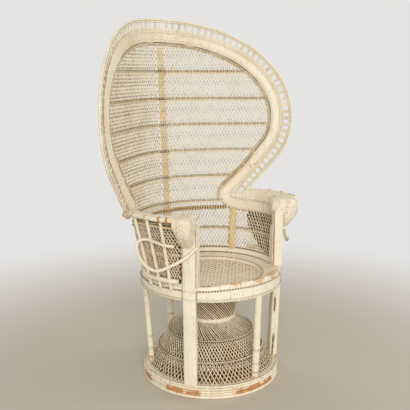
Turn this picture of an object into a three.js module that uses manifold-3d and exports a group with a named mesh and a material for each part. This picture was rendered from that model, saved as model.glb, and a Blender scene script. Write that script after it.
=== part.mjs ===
// Peacock chair: a woven rattan armchair with a tall fan back, standing on an hourglass base.
// Millimetres, +Z up. The sitter faces -Y. The origin is on the floor, in the middle of the chair's box.
import * as THREE from 'three';
import { mergeVertices } from 'three/addons/utils/BufferGeometryUtils.js';
import Module from 'manifold-3d';

const wasm = await Module();
wasm.setup();

// Clearance between pieces that touch
const fit = 0.3;

// Share of each cell that is open in the woven walls
const openShare = 0.7;

// Floor hoop and base ring
const baseRadius = 290;
const floorHoopWidth = 24;
const floorHoopHeight = 12;
const baseRingWidth = 36;
const baseRingHeight = 43;

// Hourglass basket: levels are heights above the floor, radii are outer radii
const skirtWall = 7;
const skirtFootHeight = 18;
const midBraidHeight = 104;
const midBraidRadius = 228;
const midBraidSize = 16;
const shoulderHeight = 187;
const shoulderRadius = 184;
const shoulderHoopSize = 14;
const shoulderWall = 12;
const waistHeight = 246;
const waistRadius = 106;
const waistHoopSize = 16;
const flareWall = 7;
const flareRadius = 166;
const flareBelly = 22;
const flareHoopSize = 13;

// Posts under the seat
const postInnerRadius = 268.5;
const postLean = 12;
const rearPostLean = 24;
const frontPostSize = 30;
const rearPostSize = 25;
const rearPostAngle = 118;
const spinePostSize = 34;

// Flat pillars that carry the arm fronts
const pillarAngle = 58;
const pillarWidth = 56;
const pillarDepth = 36;
const pillarDrop = 58;
const pillarCorner = 9;
const frontBandWall = 5;

// Seat
const seatHeight = 462;
const seatRadius = 296.5;
const rimHeight = 15.7;
const rimShoulder = 8;
const rimBevel = 5;
const rimDish = 18;
const rimLip = 8;
const apronHeight = 34;
const apronWall = 12;
const apronRadius = 296;
const openingRadius = 211;
const panelWall = 10;
const panelSag = 4;
const lowerHoopSize = 12;
const braceWidth = 26;
const braceThickness = 9.4;

// Tub wall round the seat
const tubRailWidth = 28;
const tubRailHeight = 12;
const tubRailRadius = 294;
const tubWall = 7;
const tubRadiusAtFoot = 290;
const tubRearLean = 0.057;
const tubFlareWidth = 33;
const tubFlareBias = 0.55;
const tubTop = 650;
const tubColumns = 12;
const tubPostSize = 24;
const crossRailHeight = 18;
const crossRailHalfLength = 240;

// Arms
const armBandHeight = 47;
const armRise = 51;
const armRearDrop = 22;
const armOuterRadius = 380;
const armRearRadius = 366;
const armWall = 8;
const armEndAngle = 127.5;
const armEndSkew = 0.39;
const hoodRound = 20;
const hoodLip = 14;
const hoodFallFrom = 0.75;
const hoodFallTo = 0.9;
const knuckleWidth = 60;
const knuckleOuterRadius = 376;
const knuckleHeight = 131;
const knuckleInset = 10;
const knuckleRound = 44;
const knuckleThroat = 20;
const coneWall = 7;
const coneGap = 2.3;
const coneBulge = 16;
const coneFootAngle = 72;
const coneTopAngle = 95;
const spindleSize = 13;
const spindleAngles = [72, 82, 93];
const loopSize = 12;

// Fan back, set out flat and then bowed: half width along the bow, heights above the floor
const totalHeight = 1500;
const fanHalfWidth = 612;
const fanWidestHeight = 1075;
const fanRoundness = 2.1;
const fanSideRadius = 285;
const fanSweepAngle = 44;
const fanFootHalfWidth = 386.5;
const fanFootTaper = 0.73;
const bowVertexRadius = 230;
const bowWingSlope = 0.85;
const bowHalfWidth = 560;
const latticeWall = 8;
const latticeColumns = 6;
const twinedRowCount = 6;
const twinedRowPitch = 0.17;
const twinedRowRise = 40;
const twinedRowSize = 16;
const spineWidth = 24;
const spineThickness = 14;
const spineEndGap = 2;

// Fan border, from the outer edge inwards
const rimRodSize = 13;
const ladderWidth = 44;
const ladderWall = 10;
const ladderRail = 9;
const rungWidth = 10;
const rungWall = 8;
const rungPitch = 25.5;
const outerBraidWidth = 13;
const bandWidth = 34;
const innerBraidWidth = 17;
const braidWall = 12;
const bandWall = 8;

// Steps round a full ring, and along the curved pieces
const ringSteps = 36;
const tubSteps = 32;
const latticeSteps = 8;
const rodSides = 8;

const halfTurn = 180;
const fullTurn = 2 * halfTurn;
const degree = Math.PI / halfTurn;
const mix = THREE.MathUtils.lerp;
const flat = (x, y) => new THREE.Vector2(x, y);
const range = (from, to, steps) => Array.from({ length: steps + 1 }, (_, i) => mix(from, to, i / steps));

// Angles are measured from the front of the chair, towards the sitter's left
const outwards = (angle) => new THREE.Vector3(Math.sin(angle * degree), -Math.cos(angle * degree), 0);
const sideways = (angle) => new THREE.Vector3(Math.cos(angle * degree), Math.sin(angle * degree), 0);
const polar = (angle, radius, z) => outwards(angle).multiplyScalar(radius).setZ(z);

const chair = new THREE.Group();
const finishes = {
  painted: { color: 0xefe2c2, roughness: 0.62, metalness: 0 },
  golden: { color: 0xd0ac66, roughness: 0.58, metalness: 0 },
  worn: { color: 0xe2c391, roughness: 0.6, metalness: 0 },
};

function place(name, geometry, finish = 'painted') {
  const mesh = new THREE.Mesh(geometry, new THREE.MeshStandardMaterial(finishes[finish]));
  mesh.name = name;
  chair.add(mesh);
}

// Signed volume of a closed triangle list: it is positive when the faces point out
function signedVolume(points, triangles) {
  const normal = new THREE.Vector3();
  let volume = 0;
  for (let i = 0; i < triangles.length; i += 3) {
    const [a, b, c] = [0, 1, 2].map((k) => points[triangles[i + k]]);
    volume += a.dot(normal.crossVectors(b, c));
  }
  return volume;
}

// Closed solid through a row of rings. The outline is the ring's shape drawn flat, for the end faces
function loft(rings, outline) {
  if (THREE.ShapeUtils.isClockWise(outline)) {
    return loft(rings.map((points) => points.slice().reverse()), outline.slice().reverse());
  }
  const size = outline.length;
  const triangles = [];
  for (let i = 0; i + 1 < rings.length; i += 1) {
    for (let k = 0; k < size; k += 1) {
      const [a, b] = [i * size + k, i * size + ((k + 1) % size)];
      triangles.push(a, b, b + size, a, b + size, a + size);
    }
  }
  const last = (rings.length - 1) * size;
  for (const [a, b, c] of THREE.ShapeUtils.triangulateShape(outline, [])) {
    triangles.push(c, b, a, last + a, last + b, last + c);
  }
  const points = rings.flat();
  if (signedVolume(points, triangles) < 0) {
    triangles.reverse();
  }
  const geometry = new THREE.BufferGeometry().setFromPoints(points);
  geometry.setIndex(triangles);
  return geometry;
}

// A ring of points seen from above
const plan = (points) => points.map((p) => flat(p.x, p.y));

// Solid ring round the chair's axis, from a closed profile of radius and height
function ring(profile) {
  const closed = profile.concat([profile[0]]);
  return new THREE.LatheGeometry(closed, ringSteps).rotateX(Math.PI / 2);
}

// Hoop with its two outer edges rounded off
function hoop(outer, width, bottom, height, round) {
  const top = bottom + height;
  return ring([
    flat(outer - width, bottom),
    flat(outer - round, bottom),
    flat(outer, bottom + round),
    flat(outer, top - round),
    flat(outer - round, top),
    flat(outer - width, top),
  ]);
}

// Woven tier: a thin wall of revolution between two levels, with an optional belly
function tier(lowRadius, low, highRadius, high, wall, belly = 0) {
  const middle = flat((lowRadius + highRadius) / 2 + belly, (low + high) / 2);
  const outer = [flat(lowRadius, low), middle, flat(highRadius, high)];
  const inner = outer.map((p) => flat(p.x - wall, p.y)).reverse();
  return ring(outer.concat(inner));
}

const roundSection = (size, sides) => range(0, fullTurn - fullTurn / sides, sides - 1).map((turn) => {
  const angle = (turn + halfTurn / sides) * degree;
  return flat((size / 2) * Math.cos(angle), (size / 2) * Math.sin(angle));
});

function blockSection(width, depth, corner) {
  const [x, y] = [width / 2, depth / 2];
  return [
    flat(corner - x, -y), flat(x - corner, -y), flat(x, corner - y), flat(x, y - corner),
    flat(x - corner, y), flat(corner - x, y), flat(-x, y - corner), flat(-x, corner - y),
  ];
}

// Upright member at one angle: stations give its height and the radius of its middle
function upright(section, angle, stations) {
  const rings = stations.map(([z, radius]) => section.map((p) => (
    polar(angle, radius + p.y, z).addScaledVector(sideways(angle), p.x)
  )));
  return loft(rings, section);
}

function toManifold(geometry) {
  const bare = new THREE.BufferGeometry();
  bare.setAttribute('position', geometry.getAttribute('position').clone());
  bare.setIndex(geometry.getIndex());
  const merged = mergeVertices(bare, 1e-3);
  return new wasm.Manifold(new wasm.Mesh({
    numProp: 3,
    vertProperties: new Float32Array(merged.getAttribute('position').array),
    triVerts: new Uint32Array(merged.getIndex().array),
  }));
}

function fromManifold(solid) {
  const { vertProperties, triVerts } = solid.getMesh();
  const geometry = new THREE.BufferGeometry();
  geometry.setAttribute('position', new THREE.BufferAttribute(new Float32Array(vertProperties), 3));
  geometry.setIndex(Array.from(triVerts));
  return geometry;
}

// Cuts the openings of a woven wall, in rows and columns. A spot has a share across, a height and a depth
function cutOpenings(wall, spot, rows, columns, steps) {
  const depth = 2 * latticeWall;
  const cutters = [];
  for (const [bottom, top] of rows) {
    for (const column of range(0, columns - 1, columns - 1)) {
      const [from, to] = [1 - openShare, 1 + openShare].map((side) => (column + side / 2) / columns);
      const rings = range(bottom, top, steps).map((z) => [
        spot(from, z, -depth), spot(to, z, -depth), spot(to, z, depth), spot(from, z, depth),
      ]);
      cutters.push(toManifold(loft(rings, plan(rings[0]))));
    }
  }
  return fromManifold(toManifold(wall).subtract(wasm.Manifold.union(cutters)));
}

// Spans between neighbouring rows, clear of the rows themselves
const between = (rows, size) => rows.slice(1).map((row, i) => [rows[i] + size / 2, row - size / 2]);

// Levels that pieces share
const ringTop = floorHoopHeight + fit + baseRingHeight;
const rimBottom = seatHeight - rimHeight;
const apronBottom = rimBottom - fit - apronHeight;
const underSeat = apronBottom - fit;
const tubRailTop = seatHeight + fit + tubRailHeight;
const tubFoot = tubRailTop + fit;
const armBandTop = tubTop + armBandHeight;
const armCrown = armBandTop + armRise;
const armRearCrown = armCrown - armRearDrop;
const pillarTop = armCrown - pillarDrop;

// Base: the chair stands on the floor hoop
function addBase() {
  const softEdge = 4;
  place('floor_hoop', hoop(baseRadius, floorHoopWidth, 0, floorHoopHeight, softEdge), 'worn');
  const ringBottom = floorHoopHeight + fit;
  place('base_ring', hoop(baseRadius, baseRingWidth, ringBottom, baseRingHeight, 3 * softEdge));
  const footRadius = baseRadius - baseRingWidth - fit;
  const proud = 4;
  const midTop = midBraidHeight + midBraidSize;
  const shoulderTop = shoulderHeight + shoulderHoopSize;
  const waistTop = waistHeight + waistHoopSize;
  const flareTop = underSeat - flareHoopSize;
  const midWall = midBraidRadius - proud;
  place('skirt_lower_weave', tier(footRadius, skirtFootHeight, midWall, midBraidHeight - fit, skirtWall));
  place('skirt_mid_braid', hoop(midBraidRadius, midBraidSize, midBraidHeight, midBraidSize, softEdge));
  const shoulderFoot = shoulderRadius - proud;
  place('skirt_upper_weave', tier(midWall, midTop + fit, shoulderFoot, shoulderHeight - fit, skirtWall));
  place('shoulder_hoop', hoop(shoulderRadius, shoulderHoopSize, shoulderHeight, shoulderHoopSize, softEdge));
  const waistFoot = waistRadius - proud;
  const shoulderRim = shoulderRadius - proud;
  place('shoulder_weave', tier(shoulderRim, shoulderTop + fit, waistFoot, waistHeight - fit, shoulderWall));
  place('waist_hoop', hoop(waistRadius, waistHoopSize, waistHeight, waistHoopSize, softEdge));
  const flareRim = flareRadius - proud;
  place('flare_weave', tier(waistFoot, waistTop + fit, flareRim, flareTop - fit, flareWall, -flareBelly));
  place('flare_top_hoop', hoop(flareRadius, flareHoopSize, flareTop, flareHoopSize, softEdge));
}

// Posts between the base ring and the seat lean in towards the floor
function addPosts() {
  const round = (size) => roundSection(size, 12);
  const lower = (size, angle, lean) => upright(round(size), angle, [
    [ringTop + fit, postInnerRadius + size / 2 - lean],
    [underSeat, postInnerRadius + size / 2],
  ]);
  place('post_front', lower(frontPostSize, 0, postLean));
  place('post_rear_left', lower(rearPostSize, rearPostAngle, rearPostLean));
  place('post_rear_right', lower(rearPostSize, -rearPostAngle, rearPostLean));
  place('post_rear_centre', lower(spinePostSize, halfTurn, postLean));
  const pillar = blockSection(pillarWidth, pillarDepth, pillarCorner);
  const middle = postInnerRadius + pillarDepth / 2;
  const stations = [[ringTop + fit, middle - postLean], [underSeat, middle], [pillarTop, middle]];
  place('pillar_left', upright(pillar, pillarAngle, stations));
  place('pillar_right', upright(pillar, -pillarAngle, stations));
}

// The tub wall, apron and arms start behind the pillars
const wallStart = pillarAngle + Math.asin((pillarWidth / 2 + fit) / (postInnerRadius - fit)) / degree;
const frontEnd = 2 * pillarAngle - wallStart;

// Bar bent round the chair's axis between two angles
function arcBar(profile, from, to, steps) {
  const rings = range(from, to, steps).map((angle) => profile.map((p) => polar(angle, p.x, p.y)));
  return loft(rings, profile);
}

function addSeat() {
  const leanPerHeight = rearPostLean / (underSeat - ringTop - fit);
  const lowerHoopRadius = postInnerRadius - leanPerHeight * lowerHoopSize - fit;
  place('seat_lower_hoop', hoop(lowerHoopRadius, lowerHoopSize, underSeat - lowerHoopSize, lowerHoopSize, 3));

  const apron = [
    flat(apronRadius - apronWall, apronBottom), flat(apronRadius, apronBottom),
    flat(apronRadius, apronBottom + apronHeight), flat(apronRadius - apronWall, apronBottom + apronHeight),
  ];
  place('seat_apron_front', arcBar(apron, -frontEnd, frontEnd, 14));
  place('seat_apron_rear', arcBar(apron, wallStart, fullTurn - wallStart, 26));

  const lipTop = seatHeight - rimDish - rimLip;
  const lipBottom = lipTop - rimLip;
  const rim = ring([
    flat(apronRadius - apronWall, rimBottom),
    flat(seatRadius, rimBottom),
    flat(seatRadius, seatHeight - rimBevel),
    flat(seatRadius - rimShoulder, seatHeight),
    flat(openingRadius + rimLip, seatHeight - rimDish),
    flat(openingRadius, lipTop),
    flat(openingRadius, lipBottom),
    flat(openingRadius + 2 * rimLip, lipBottom),
  ]);
  const notchDepth = seatRadius - postInnerRadius + 2 * fit + pillarDepth;
  const notch = blockSection(pillarWidth + 2 * fit, notchDepth, fit);
  const notchMiddle = postInnerRadius - fit + notchDepth / 2;
  const cutter = (angle) => toManifold(upright(notch, angle, [[0, notchMiddle], [pillarTop, notchMiddle]]));
  const notched = toManifold(rim).subtract(cutter(pillarAngle)).subtract(cutter(-pillarAngle));
  place('seat_rim', fromManifold(notched), 'worn');

  const panelRadius = openingRadius - fit;
  const panelBottom = lipTop - panelWall;
  const half = panelRadius / 2;
  const sag = (share) => panelSag * (1 - share * share);
  place('seat_panel', new THREE.LatheGeometry([
    flat(0, panelBottom - sag(0)), flat(half, panelBottom - sag(0.5)), flat(panelRadius, panelBottom),
    flat(panelRadius, lipTop), flat(half, lipTop - sag(0.5)), flat(0, lipTop - sag(0)),
  ], ringSteps).rotateX(Math.PI / 2));

  addBraces(lowerHoopRadius);
}

// Two halved slats cross under the seat, on the lower hoop
function addBraces(reach) {
  const [bottom, top] = [apronBottom, apronBottom + braceThickness];
  const middle = (bottom + top) / 2;
  const notch = braceWidth / 2 + fit;
  const slat = (cutEdge, keptEdge, cutDepth) => {
    const shape = new THREE.Shape([
      flat(-reach, cutEdge), flat(-notch, cutEdge), flat(-notch, cutDepth), flat(notch, cutDepth),
      flat(notch, cutEdge), flat(reach, cutEdge), flat(reach, keptEdge), flat(-reach, keptEdge),
    ]);
    const geometry = new THREE.ExtrudeGeometry(shape, { depth: braceWidth, bevelEnabled: false });
    return geometry.rotateX(Math.PI / 2).translate(0, braceWidth / 2, 0);
  };
  place('seat_brace_across', slat(bottom, top, middle + fit / 2));
  place('seat_brace_along', slat(top, bottom, middle - fit / 2).rotateZ(Math.PI / 2));
}

// Middle of the tub wall: it leans back behind the sitter and flares out at the sides
function tubRadius(angle, z) {
  const turn = angle > halfTurn ? fullTurn - angle : angle;
  const share = (turn - wallStart) / (halfTurn - wallStart);
  const flare = tubFlareWidth * Math.sin(Math.PI * Math.max(share, 0) ** tubFlareBias);
  const rise = z - tubFoot;
  return tubRadiusAtFoot + rise * tubRearLean + (flare * rise) / (armCrown - tubFoot);
}

// Strip of the tub wall between two levels and two angles
function tubStrip(bottom, top, wall, angles, side = 1) {
  const section = [flat(-wall / 2, bottom), flat(wall / 2, bottom), flat(wall / 2, top), flat(-wall / 2, top)];
  const rings = angles.map((angle) => section.map((p) => (
    polar(side * angle, tubRadius(angle, p.y) + p.x, p.y)
  )));
  return loft(rings, section);
}

function addTub() {
  const rail = [
    flat(tubRailRadius - tubRailWidth, seatHeight + fit), flat(tubRailRadius, seatHeight + fit),
    flat(tubRailRadius, tubRailTop), flat(tubRailRadius - tubRailWidth, tubRailTop),
  ];
  place('tub_rail', arcBar(rail, wallStart, fullTurn - wallStart, 26));
  const wallAngles = range(wallStart, fullTurn - wallStart, tubSteps);
  const spot = (share, z, depth) => {
    const angle = mix(wallStart, fullTurn - wallStart, share);
    return polar(angle, tubRadius(angle, z) + depth, z);
  };
  const rows = between(range(tubFoot, tubTop, 2), twinedRowSize);
  const wall = tubStrip(tubFoot, tubTop - fit, tubWall, wallAngles);
  place('tub_weave', cutOpenings(wall, spot, rows, tubColumns, 1));
  const post = roundSection(tubPostSize, 10);
  const halfStep = ((halfTurn - wallStart) / tubSteps) * degree;
  const chordSag = tubRadius(rearPostAngle, tubTop) * (1 - Math.cos(halfStep));
  const inset = tubWall / 2 + chordSag + fit + tubPostSize / 2;
  for (const [side, sign] of [['left', 1], ['right', -1]]) {
    const stations = [tubFoot, tubTop - fit].map((z) => [z, tubRadius(rearPostAngle, z) - inset]);
    place(`tub_post_${side}`, upright(post, sign * rearPostAngle, stations), 'golden');
  }
}

// The bow of the back in plan: round behind the sitter, straightening into two wings
class BowCurve extends THREE.Curve {
  getPoint(t, target = new THREE.Vector3()) {
    const x = t * bowHalfWidth;
    const depth = bowVertexRadius * bowWingSlope ** 2;
    return target.set(x, depth - Math.hypot(depth, bowWingSlope * x), 0);
  }
}
const bow = new BowCurve();
const bowLength = bow.getLength();

// A point of the flat pattern, at a distance along the bow and a height, carried onto the bowed back.
// The depth is measured backwards from the middle of the weave
function onBack(along, z, depth) {
  const share = Math.min(Math.abs(along) / bowLength, 1);
  const point = bow.getPointAt(share);
  const tangent = bow.getTangentAt(share);
  const x = point.x - tangent.y * depth;
  const y = point.y + tangent.x * depth + tubRadius(halfTurn, z);
  return new THREE.Vector3(Math.sign(along) * x, y, z);
}

// One side of the fan's outline, from the top centre to the arm, set in from the outer edge
const fanFoot = armRearCrown + fit;
function fanSide(inset) {
  const points = [];
  const rise = totalHeight - fanWidestHeight;
  const power = 2 / fanRoundness;
  for (const turn of range(0, 90, 12)) {
    const [s, c] = [Math.sin(turn * degree), Math.max(Math.cos(turn * degree), 0)];
    const edge = flat(fanHalfWidth * s ** power, rise * c ** power);
    const normal = flat(s ** (2 - power) / fanHalfWidth, c ** (2 - power) / rise).normalize();
    points.push(edge.addScaledVector(normal, -inset).add(flat(0, fanWidestHeight)));
  }
  const radius = fanSideRadius - inset;
  for (const turn of range(0, fanSweepAngle, 5).slice(1)) {
    const [s, c] = [Math.sin(turn * degree), Math.cos(turn * degree)];
    points.push(flat(fanHalfWidth - fanSideRadius + radius * c, fanWidestHeight - radius * s));
  }
  const start = points.at(-1);
  const foot = flat(fanFootHalfWidth - (inset / Math.cos(fanSweepAngle * degree)) * fanFootTaper, fanFoot);
  for (const share of range(0, 1, 4).slice(1)) {
    points.push(start.clone().lerp(foot, share));
  }
  return points;
}

// The whole outline, from the left arm over the top to the right arm
function fanEdge(inset) {
  const right = fanSide(inset);
  const left = right.slice(1).map((p) => flat(-p.x, p.y)).reverse();
  return left.concat(right);
}

// Strip that follows the fan's outline between two insets
function fanStrip(from, to, wall) {
  const [outer, inner] = [fanEdge(from), fanEdge(to)];
  const outline = [flat(0, 0), flat(1, 0), flat(1, 1), flat(0, 1)];
  const rings = outer.map((p, i) => [
    onBack(p.x, p.y, -wall / 2), onBack(inner[i].x, inner[i].y, -wall / 2),
    onBack(inner[i].x, inner[i].y, wall / 2), onBack(p.x, p.y, wall / 2),
  ]);
  return loft(rings, outline);
}

// Round rod along the fan's outline
function fanRod(inset, size) {
  const section = roundSection(size, rodSides);
  const edges = section.map((p) => fanEdge(inset + p.x));
  const rings = edges[0].map((_, i) => section.map((p, k) => onBack(edges[k][i].x, edges[k][i].y, p.y)));
  return loft(rings, section);
}

// Two rails joined by evenly spaced rungs, open between them
function fanLadder(from, to) {
  const middle = fanEdge((from + to) / 2).map((p) => new THREE.Vector3(p.x, p.y, 0));
  const path = new THREE.CatmullRomCurve3(middle);
  const length = path.getLength();
  const [first, last] = [ladderWidth / length, 1 - ladderWidth / length];
  const count = Math.round((length - 2 * ladderWidth) / rungPitch);
  const rungLength = to - from - ladderRail;
  let ladder = toManifold(fanStrip(from, from + ladderRail, ladderWall));
  ladder = ladder.add(toManifold(fanStrip(to - ladderRail, to, ladderWall)));
  for (const share of range(first, last, count)) {
    const centre = path.getPointAt(share);
    const along = path.getTangentAt(share);
    const rung = new THREE.BoxGeometry(rungWidth, rungLength, rungWall);
    const corners = rung.getAttribute('position');
    for (let k = 0; k < corners.count; k += 1) {
      const [a, b, c] = [corners.getX(k), corners.getY(k), corners.getZ(k)];
      const spot = onBack(centre.x + a * along.x - b * along.y, centre.y + a * along.y + b * along.x, -c);
      corners.setXYZ(k, spot.x, spot.y, spot.z);
    }
    ladder = ladder.add(toManifold(rung));
  }
  return fromManifold(ladder);
}

function addBack() {
  const insets = [rimRodSize, ladderWidth, outerBraidWidth, bandWidth, innerBraidWidth];
  const starts = insets.map((_, i) => insets.slice(0, i).reduce((sum, width) => sum + width + fit, 0));
  const [, ladderAt, outerBraidAt, bandAt, innerBraidAt] = starts;
  const latticeAt = innerBraidAt + innerBraidWidth + fit;
  place('border_rim_rod', fanRod(rimRodSize / 2, rimRodSize));
  place('border_ladder', fanLadder(ladderAt, ladderAt + ladderWidth));
  place('border_outer_braid', fanStrip(outerBraidAt, outerBraidAt + outerBraidWidth, braidWall));
  place('border_band', fanStrip(bandAt, bandAt + bandWidth, bandWall));
  place('border_inner_braid', fanStrip(innerBraidAt, innerBraidAt + innerBraidWidth, braidWall));
  addLattice(latticeAt);
  addSpine(totalHeight - latticeAt - spineEndGap);
  addCrossRail();
}

// Woven field of the back, from the cross rail up to the inner braid, in two halves that meet behind the spine
function addLattice(inset) {
  const side = fanSide(inset).reverse();
  const bottom = tubTop + crossRailHeight + fit;
  const levels = [flat(side[0].x, bottom)].concat(side.slice(0, -1));
  const shares = range(0, 1, latticeSteps);
  const halfWidth = (z) => {
    const i = Math.max(levels.findIndex((p) => p.y >= z), 1);
    const [a, b] = [levels[i - 1], levels[i]];
    return mix(a.x, b.x, (z - a.y) / (b.y - a.y));
  };
  const top = levels.at(-1).y;
  const twined = range(0, twinedRowCount - 1, twinedRowCount - 1).map((row) => (
    mix(tubTop + twinedRowRise, top, row * twinedRowPitch)
  ));
  const rows = between(twined.concat([top - twinedRowSize]), twinedRowSize);
  for (const [name, sign] of [['left', 1], ['right', -1]]) {
    const rings = levels.map((edge) => {
      const face = (share, depth) => onBack(sign * mix(fit / 2, edge.x, share), edge.y, depth);
      const front = shares.map((share) => face(share, -latticeWall / 2));
      return front.concat(shares.map((share) => face(1 - share, latticeWall / 2)));
    });
    const spot = (share, z, depth) => onBack(sign * mix(fit / 2, halfWidth(z), share), z, depth);
    const wall = loft(rings, plan(rings[0]));
    place(`back_weave_${name}`, cutOpenings(wall, spot, rows, latticeColumns, 2));
  }
}

function addSpine(top) {
  const section = blockSection(spineWidth, spineThickness, 4);
  const step = fanHalfWidth / latticeSteps;
  const bend = onBack(0, top, 0).y - onBack(step, top, 0).y;
  const inset = latticeWall / 2 + (bend * spineWidth) / (2 * step) + fit + spineThickness / 2;
  const stations = [tubFoot, top].map((z) => [z, tubRadius(halfTurn, z) - inset]);
  place('back_spine', upright(section, halfTurn, stations), 'golden');
}

// Braided rail across the back at arm height, between the tub wall and the fan
function addCrossRail() {
  const [bottom, top] = [tubTop, tubTop + crossRailHeight];
  const half = latticeWall / 2;
  const section = [flat(-half, bottom), flat(half, bottom), flat(half, top), flat(-half, top)];
  const places = range(-crossRailHalfLength, crossRailHalfLength, 16);
  const rings = places.map((along) => section.map((p) => onBack(along, p.y, p.x)));
  place('back_cross_rail', loft(rings, section), 'golden');
}

// Hood profile at one share of its length, as radius and height: up from the inner band, over and down to a lip
function hoodSection(angle, share) {
  const fall = THREE.MathUtils.smoothstep(share, hoodFallFrom, hoodFallTo);
  const crown = mix(armCrown, armRearCrown, fall);
  const outer = mix(armOuterRadius, armRearRadius, fall);
  const foot = armBandTop + fit;
  const bend = crown - hoodRound;
  const inner = (z) => tubRadius(angle, z) - tubWall / 2;
  const chamfer = 1 - Math.SQRT1_2;
  return [
    flat(inner(foot), foot),
    flat(inner(foot) + armWall, foot),
    flat(inner(bend) + armWall, bend),
    flat(inner(bend) + hoodRound, crown - armWall),
    flat(outer - hoodLip, crown - armWall),
    flat(outer - armWall, crown - hoodLip),
    flat(outer, crown - hoodLip),
    flat(outer - hoodLip * chamfer, crown - hoodLip * chamfer),
    flat(outer - hoodLip, crown),
    flat(inner(bend) + hoodRound, crown),
    flat(inner(bend) + hoodRound * chamfer, crown - hoodRound * chamfer),
    flat(inner(bend), bend),
  ];
}

// Woven hood of one arm. Its rear end is cut on the skew, to lie along the fan
function hood(side) {
  const rings = range(0, 1, 12).map((share) => {
    const section = hoodSection(mix(wallStart, armEndAngle, share), share);
    return section.map((p) => {
      const end = armEndAngle - (p.x - tubRadius(armEndAngle, armBandTop)) * armEndSkew;
      return polar(side * mix(wallStart, end, share), p.x, p.y);
    });
  });
  return loft(rings, hoodSection(wallStart, 0));
}

// Scroll over the pillar's top: it reaches out past the pillar and rolls under
function knuckle(side) {
  const [back, front] = [postInnerRadius - knuckleInset, knuckleOuterRadius];
  const pillarFace = postInnerRadius + pillarDepth + fit;
  const under = (pillarFace + front) / 2;
  const seat = pillarTop + fit;
  const knuckleFoot = armCrown - knuckleHeight;
  const shape = new THREE.Shape();
  shape.moveTo(back, seat);
  shape.lineTo(pillarFace, seat);
  shape.lineTo(pillarFace, seat - knuckleThroat);
  shape.quadraticCurveTo(pillarFace, knuckleFoot, under, knuckleFoot);
  shape.quadraticCurveTo(front, knuckleFoot, front, knuckleFoot + knuckleRound);
  shape.lineTo(front, armCrown - knuckleRound);
  shape.quadraticCurveTo(front, armCrown, front - knuckleRound, armCrown);
  shape.lineTo(back + knuckleRound, armCrown);
  shape.quadraticCurveTo(back, armCrown, back, armCrown - knuckleRound);
  const settings = { depth: knuckleWidth, bevelEnabled: false, curveSegments: 4 };
  const geometry = new THREE.ExtrudeGeometry(shape, settings).translate(0, 0, -knuckleWidth / 2);
  const angle = side * pillarAngle;
  const up = new THREE.Vector3(0, 0, 1);
  return geometry.applyMatrix4(new THREE.Matrix4().makeBasis(outwards(angle), up, sideways(angle).negate()));
}

// Woven cone outside the tub wall, narrow at the seat and wide under the hood
function cone(side) {
  const top = armCrown - hoodRound - fit;
  const levels = range(tubFoot, top, 4);
  const shares = range(0, 1, 6);
  const rings = levels.map((z) => {
    const rise = (z - tubFoot) / (top - tubFoot);
    const end = mix(coneFootAngle, coneTopAngle, Math.sqrt(rise));
    const wall = (s, out) => {
      const angle = mix(wallStart, end, s);
      const swell = coneBulge * rise * Math.sin(Math.PI * s);
      const face = tubRadius(angle, z) - tubWall / 2 + armWall + coneGap;
      return polar(side * angle, face + swell + out * coneWall, z);
    };
    return shares.map((s) => wall(s, 0)).concat(shares.map((s) => wall(1 - s, 1)));
  });
  return loft(rings, plan(rings[0]));
}

function spindle(angle) {
  const top = armCrown - hoodLip - fit;
  const bottomRadius = seatRadius + fit + spindleSize / 2;
  const stations = [[rimBottom, bottomRadius], [top, armOuterRadius - armWall / 2]];
  return upright(roundSection(spindleSize, rodSides), angle, stations);
}

// Bent rod outside the spindles, from the knuckle's rear face round to the pillar's front edge. Each point has
// an angle, a share of the arm's outer radius, and a drop below the crown in knuckle heights
const loopRoute = [
  [64.5, 0.9263, 0.87], [71, 0.9711, 0.824], [82, 0.9842, 0.733], [87, 1.0237, 0.824], [86, 1.0526, 1.092],
  [81.5, 1.0395, 1.428], [74.5, 0.9947, 1.603], [65.5, 0.9263, 1.42], [58, 0.8526, 1.206], [51.2, 0.8205, 0.931],
];
function loop(side) {
  const path = new THREE.CatmullRomCurve3(loopRoute.map(([angle, out, drop]) => (
    polar(side * angle, out * armOuterRadius, armCrown - drop * knuckleHeight)
  )));
  const shape = new THREE.Shape(roundSection(loopSize, 6));
  return new THREE.ExtrudeGeometry(shape, { steps: 30, extrudePath: path, bevelEnabled: false });
}

function frontBand(side) {
  const section = [[-1, -1], [1, -1], [1, 1], [-1, 1]].map(([x, y]) => (
    flat((x * frontBandWall) / 2 - side * (pillarWidth / 2 + fit + frontBandWall / 2), (y * pillarDepth) / 2)
  ));
  const middle = postInnerRadius + pillarDepth / 2;
  return upright(section, side * pillarAngle, [[seatHeight + fit, middle], [pillarTop, middle]]);
}

function addArm(name, side) {
  const bandAngles = range(wallStart, armEndAngle + 1, 12);
  place(`arm_band_${name}`, tubStrip(tubTop, armBandTop, tubWall, bandAngles, side));
  place(`arm_front_band_${name}`, frontBand(side));
  place(`arm_hood_${name}`, hood(side));
  place(`arm_knuckle_${name}`, knuckle(side));
  place(`arm_cone_${name}`, cone(side));
  const ranks = ['front', 'middle', 'rear'];
  spindleAngles.forEach((angle, i) => place(`arm_spindle_${ranks[i]}_${name}`, spindle(side * angle)));
  place(`arm_loop_${name}`, loop(side));
}

addBase();
addPosts();
addSeat();
addTub();
addBack();
addArm('left', 1);
addArm('right', -1);

// Put the middle of the chair's box over the origin
const box = new THREE.Box3().setFromObject(chair);
chair.position.set(0, -(box.min.y + box.max.y) / 2, 0);

const part = new THREE.Group();
part.add(chair);

export default part;
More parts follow.
